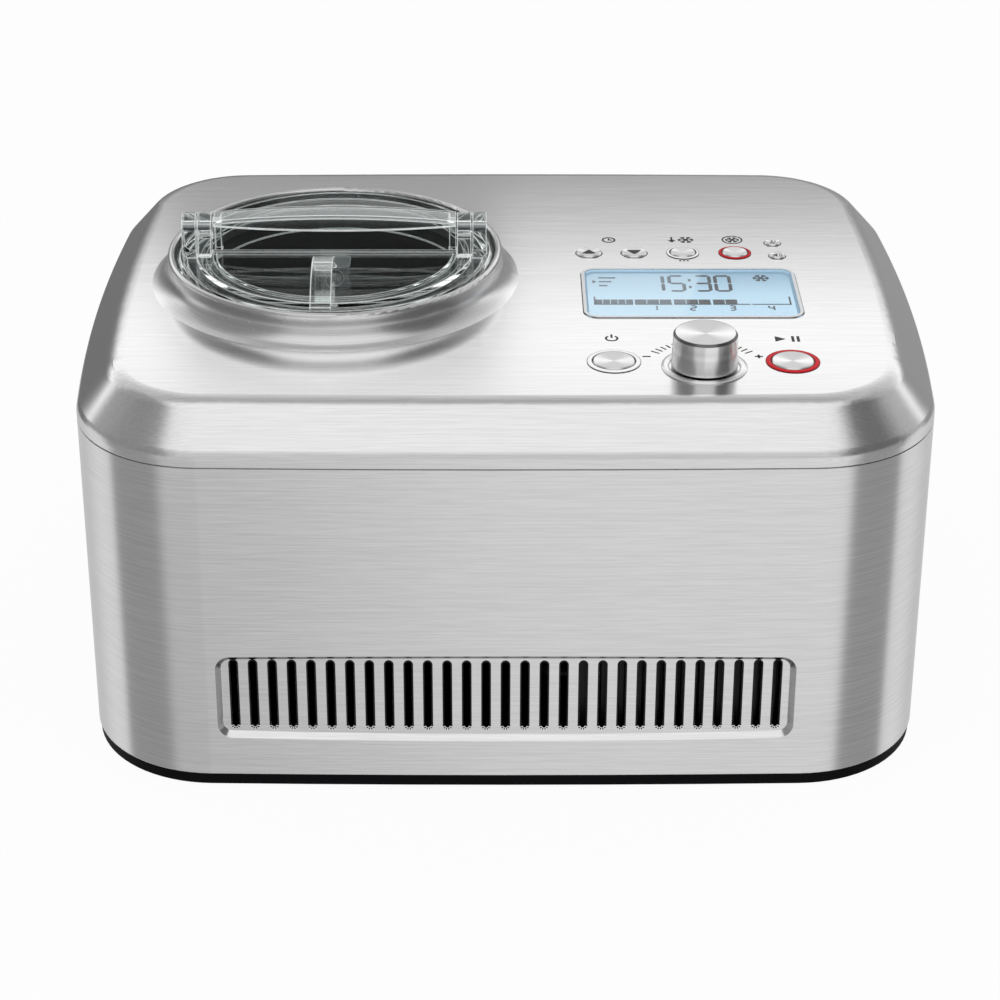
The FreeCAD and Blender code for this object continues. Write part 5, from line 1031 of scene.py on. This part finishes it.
VENT_SLOTS = 29
VENT_PITCH = 8.62
VENT_LOW = 24.7
VENT_HIGH = 69.2
VENT_DEPTH = 2.5
SLOT_WIDTH = 2.9
SLOT_HEIGHT = 35.4
SLOT_RISE = 0.9
LIP_ROLL = 0.36
FLUTE_RISE = 0.55
FLUTE_REACH = 1.6
FLUTE_SIZE = (1.5 * MM, 0.38 * MM, 0.6 * MM)
FRONT_RADIUS = 6.274
FRONT_BEND = 0.5 / FRONT_RADIUS


def dress_vent():
    """A rolled lip round every slot of the front air intake, black as painted shade of the slot, and bright
    flutes in its foot.
    """
    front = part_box("body_wrap")[0][1] / MM
    start = -VENT_PITCH * (VENT_SLOTS - 1) / 2
    middle_z = (VENT_LOW + VENT_HIGH) / 2 + SLOT_RISE - LIP_ROLL
    floor = front + VENT_DEPTH
    row = {"Count": VENT_SLOTS, "Pitch": (VENT_PITCH * MM, 0.0, 0.0), "Bow": FRONT_BEND}
    lips = {**row, "Start": (start * MM, floor * MM, middle_z * MM), "Height": SLOT_HEIGHT * MM,
            "Width": (SLOT_WIDTH + 2 * LIP_ROLL) * MM, "Roll": LIP_ROLL * MM}
    # painted shade: the black lips stand in for the shade inside the slots
    black = moulding("lip_painted_shade", (0.010, 0.010, 0.011), shine=0.2)
    pattern_piece("vent_lips", slot_lips(), black, [lips], "housing")
    foot = middle_z - (SLOT_HEIGHT - SLOT_WIDTH) / 2 + FLUTE_RISE
    flutes = {**row, "Start": (start * MM, (floor - LIP_ROLL) * MM, foot * MM),
              "Radius": FLUTE_REACH * MM, "Flute": FLUTE_SIZE}
    polished = cast_metal("flute_bright", (0.92, 0.92, 0.92), 0.12, grain=900.0, depth=0.04)
    pattern_piece("vent_flutes", slot_flutes(), polished, [flutes], "housing")


def flat_card(name, corners):
    """A flat studio object with four corners."""
    mesh = bpy.data.meshes.new(name)
    mesh.from_pydata(corners, [], [(0, 1, 2, 3)])
    card = bpy.data.objects.new(name, mesh)
    bpy.context.collection.objects.link(card)
    return card


def glow_card(name, bounds, level):
    """An upright card that the camera doesn't see; level gives its brightness from place to place."""
    y, left, right, low, high = bounds
    card = flat_card(name, [(left, y, low), (right, y, low), (right, y, high), (left, y, high)])
    finish = Finish(name)
    tone = level(finish, finish.place())
    light = finish.add("ShaderNodeEmission", None, {"Color": tone, "Strength": 1.0})
    finish.add("ShaderNodeOutputMaterial", None, {"Surface": light})
    card.data.materials.append(finish.material)
    card.visible_camera = False
    card.visible_diffuse = False
    card.visible_shadow = False


def ramp(tree, value, stops):
    """A smooth curve of brightness through (value, brightness) stops, up to 2."""
    low = stops[0][0]
    high = stops[-1][0]
    share = tree.add("ShaderNodeMapRange", None, {"Value": value, "From Min": low, "From Max": high})
    marks = [((place - low) / (high - low), (tone / 2, tone / 2, tone / 2)) for place, tone in stops]
    return tree.add("ShaderNodeValToRGB", {"stops": marks}, {"Fac": share}) * 2.0


CARD_BEHIND = (0.42, -1.2, 1.2, 0.0, 1.1)
CARD_STOPS = [(0.00, 0.36), (0.285, 0.36), (0.315, 0.60), (0.345, 0.88), (0.372, 1.30),
              (0.40, 2.00), (0.43, 1.90), (0.46, 1.40), (0.60, 0.95), (1.10, 0.70)]
FLAG_LOW = 0.340
FLAG_HIGH = 0.412
FLAG_OVER_LID = (0.41, -0.205, -0.003, FLAG_LOW, FLAG_HIGH)


def back_card_level(finish, place):
    """Brightness of the card behind: a bright band half-way up, and a darker left than right low down."""
    x = finish.axis(place, 0)
    z = finish.axis(place, 2)
    side = 0.20 + x.step(-0.25, 0.25) * 0.18
    lit = z.step(0.20, 0.29)
    return ramp(finish, z, CARD_STOPS) * lit + side * (1.0 - lit)


def flag_level(finish, place):
    """A dark flag with soft edges, so that the clear lid stays clear."""
    z = finish.axis(place, 2)
    head = z.step(FLAG_HIGH - 0.014, FLAG_HIGH)
    foot = 1.0 - z.step(FLAG_LOW, FLAG_LOW + 0.012)
    return 0.06 + head * 0.5 + foot * 0.6


ROOM_PALE = 0.88
BOX_GAIN = 0.46
OVERHEAD_LEVEL = 0.60
TWICE_GAIN = 1.3
STRIP_LEVEL = 0.43


def mix(first, second, share):
    """From the first brightness to the second by a share."""
    return first * (1.0 - share) + second * share


def room_level(room):
    """Brightness of the room by direction: a soft box over the front, dim sides and a pale floor.

    Overhead it is dim, but brighter for light that two mirrors have turned. The floor has a dim strip
    on both sides.
    """
    here = room.add("ShaderNodeTexCoord", output="Generated")
    x = room.axis(here, 0)
    y = room.axis(here, 1)
    z = room.axis(here, 2)
    right = x.step(-0.1, 0.1)
    along = y / (room.radius(here) + 0.001)

    box = (0.0 - y).step(0.0, 0.16) * z.step(0.50, 0.82)
    overhead = z.step(0.80, 0.92) * y.step(-0.04, 0.14)
    twice = room.add("ShaderNodeLightPath", output="Glossy Depth").step(1.2, 1.8)
    above = mix(box * BOX_GAIN + ROOM_PALE, OVERHEAD_LEVEL, overhead)
    above = above + twice * z.step(0.50, 0.75) * TWICE_GAIN
    side = abs(x).step(0.42, 0.58) * (1.0 - y.step(0.42, 0.66))
    rear = y.step(-0.10, 0.20)
    side_level = 0.36 + rear * 0.10 + right * (rear * 0.36 - 0.17)
    above = mix(above, side_level, side)

    front = 0.78 + x.step(-0.16, 0.03) * 0.31 - (0.0 - z).step(0.44, 0.56) * 0.10
    beyond = 1.02 - along.step(0.30, 0.90) * 0.34
    strip = along.step(-0.80, -0.66)
    past = along.step(-0.04, 0.12)
    below = mix(front, mix(STRIP_LEVEL, beyond, past), strip)

    return mix(below, above, z.step(-0.06, 0.10))


FLOOR_REACH = 6.0
FLOOR_CORNERS = ((-1, -1), (1, -1), (1, 1), (-1, 1))
FLOOR_PAPER = 0.86
FLOOR_WHITE = 0.95
WORLD_FILL = 0.72
ROOM_SEEN = 0.97
SOFT_BOX_PLACE = (0.0, -0.50, 1.25)
SOFT_BOX_AIM = (0.0, -0.02, 0.12)
SOFT_BOX_SIZE = (1.1, 0.6)
SOFT_BOX_POWER = 2.4


def seen_plainly(tree):
    """1 for rays that see a surface directly, in a mirror or through clear plastic."""
    camera = tree.add("ShaderNodeLightPath", output="Is Camera Ray")
    mirror = tree.add("ShaderNodeLightPath", output="Is Glossy Ray")
    clear = tree.add("ShaderNodeLightPath", output="Is Transmission Ray")
    return camera.at_least(mirror).at_least(clear)


def build_studio():
    """A white floor that keeps the shadow, a graded card with a flag behind, a soft box and a pale room."""
    floor = flat_card("studio_floor", [(x * FLOOR_REACH, y * FLOOR_REACH, 0.0) for x, y in FLOOR_CORNERS])
    finish = Finish("floor_white")
    paper = finish.add("ShaderNodeBsdfDiffuse", None, {"Color": grey(FLOOR_PAPER)})
    white = finish.add("ShaderNodeEmission", None, {"Color": grey(1.0), "Strength": 1.0})
    share = seen_plainly(finish) * FLOOR_WHITE
    mixed = finish.add("ShaderNodeMixShader", None, {0: share, 1: paper, 2: white})
    finish.add("ShaderNodeOutputMaterial", None, {"Surface": mixed})
    floor.data.materials.append(finish.material)
    floor.visible_glossy = False

    glow_card("card_behind", CARD_BEHIND, back_card_level)
    glow_card("flag_over_lid", FLAG_OVER_LID, flag_level)

    world = bpy.data.worlds.new("pale_room")
    bpy.context.scene.world = world
    world.use_nodes = True
    room = Tree(world.node_tree)
    room.nodes.clear()
    share = seen_plainly(room)
    mirrored = room.add("ShaderNodeLightPath", output="Is Glossy Ray")
    level = mix(ROOM_SEEN, room_level(room), mirrored)
    light = room.add("ShaderNodeBackground", None, {"Color": grey(1.0), "Strength": WORLD_FILL})
    shown = room.add("ShaderNodeBackground", None, {"Color": level, "Strength": 1.0})
    mixed = room.add("ShaderNodeMixShader", None, {0: share, 1: light, 2: shown})
    room.add("ShaderNodeOutputWorld", None, {"Surface": mixed})

    add_soft_box("soft_box_top")


def add_soft_box(name):
    """An area lamp; its mirror image is the room's own soft box, so metal doesn't show it twice."""
    lamp = bpy.data.lights.new(name, "AREA")
    lamp.shape = "RECTANGLE"
    lamp.size, lamp.size_y = SOFT_BOX_SIZE
    lamp.energy = SOFT_BOX_POWER
    holder = bpy.data.objects.new(name, lamp)
    holder.location = SOFT_BOX_PLACE
    aim = Vector(SOFT_BOX_AIM) - Vector(SOFT_BOX_PLACE)
    holder.rotation_euler = aim.to_track_quat("-Z", "Y").to_euler()
    holder.visible_glossy = False
    bpy.context.collection.objects.link(holder)


def set_camera():
    """The camera that took the photograph, as it was fitted."""
    camera = bpy.data.cameras.new("photo_camera")
    camera.lens = CAMERA_LENS
    camera.shift_x, camera.shift_y = CAMERA_SHIFT
    holder = bpy.data.objects.new("photo_camera", camera)
    holder.location = CAMERA_PLACE
    holder.rotation_euler = (CAMERA_TILT, 0.0, 0.0)
    bpy.context.collection.objects.link(holder)
    bpy.context.scene.camera = holder


def main():
    dress_casing()
    dress_controls()
    dress_bowl_and_lid()
    dress_drive()
    dress_cooling()
    ink = print_panel()
    print_caps(ink)
    draw_display()
    dress_vent()
    build_studio()
    set_camera()
    bpy.context.scene.view_settings.view_transform = "Standard"


main()
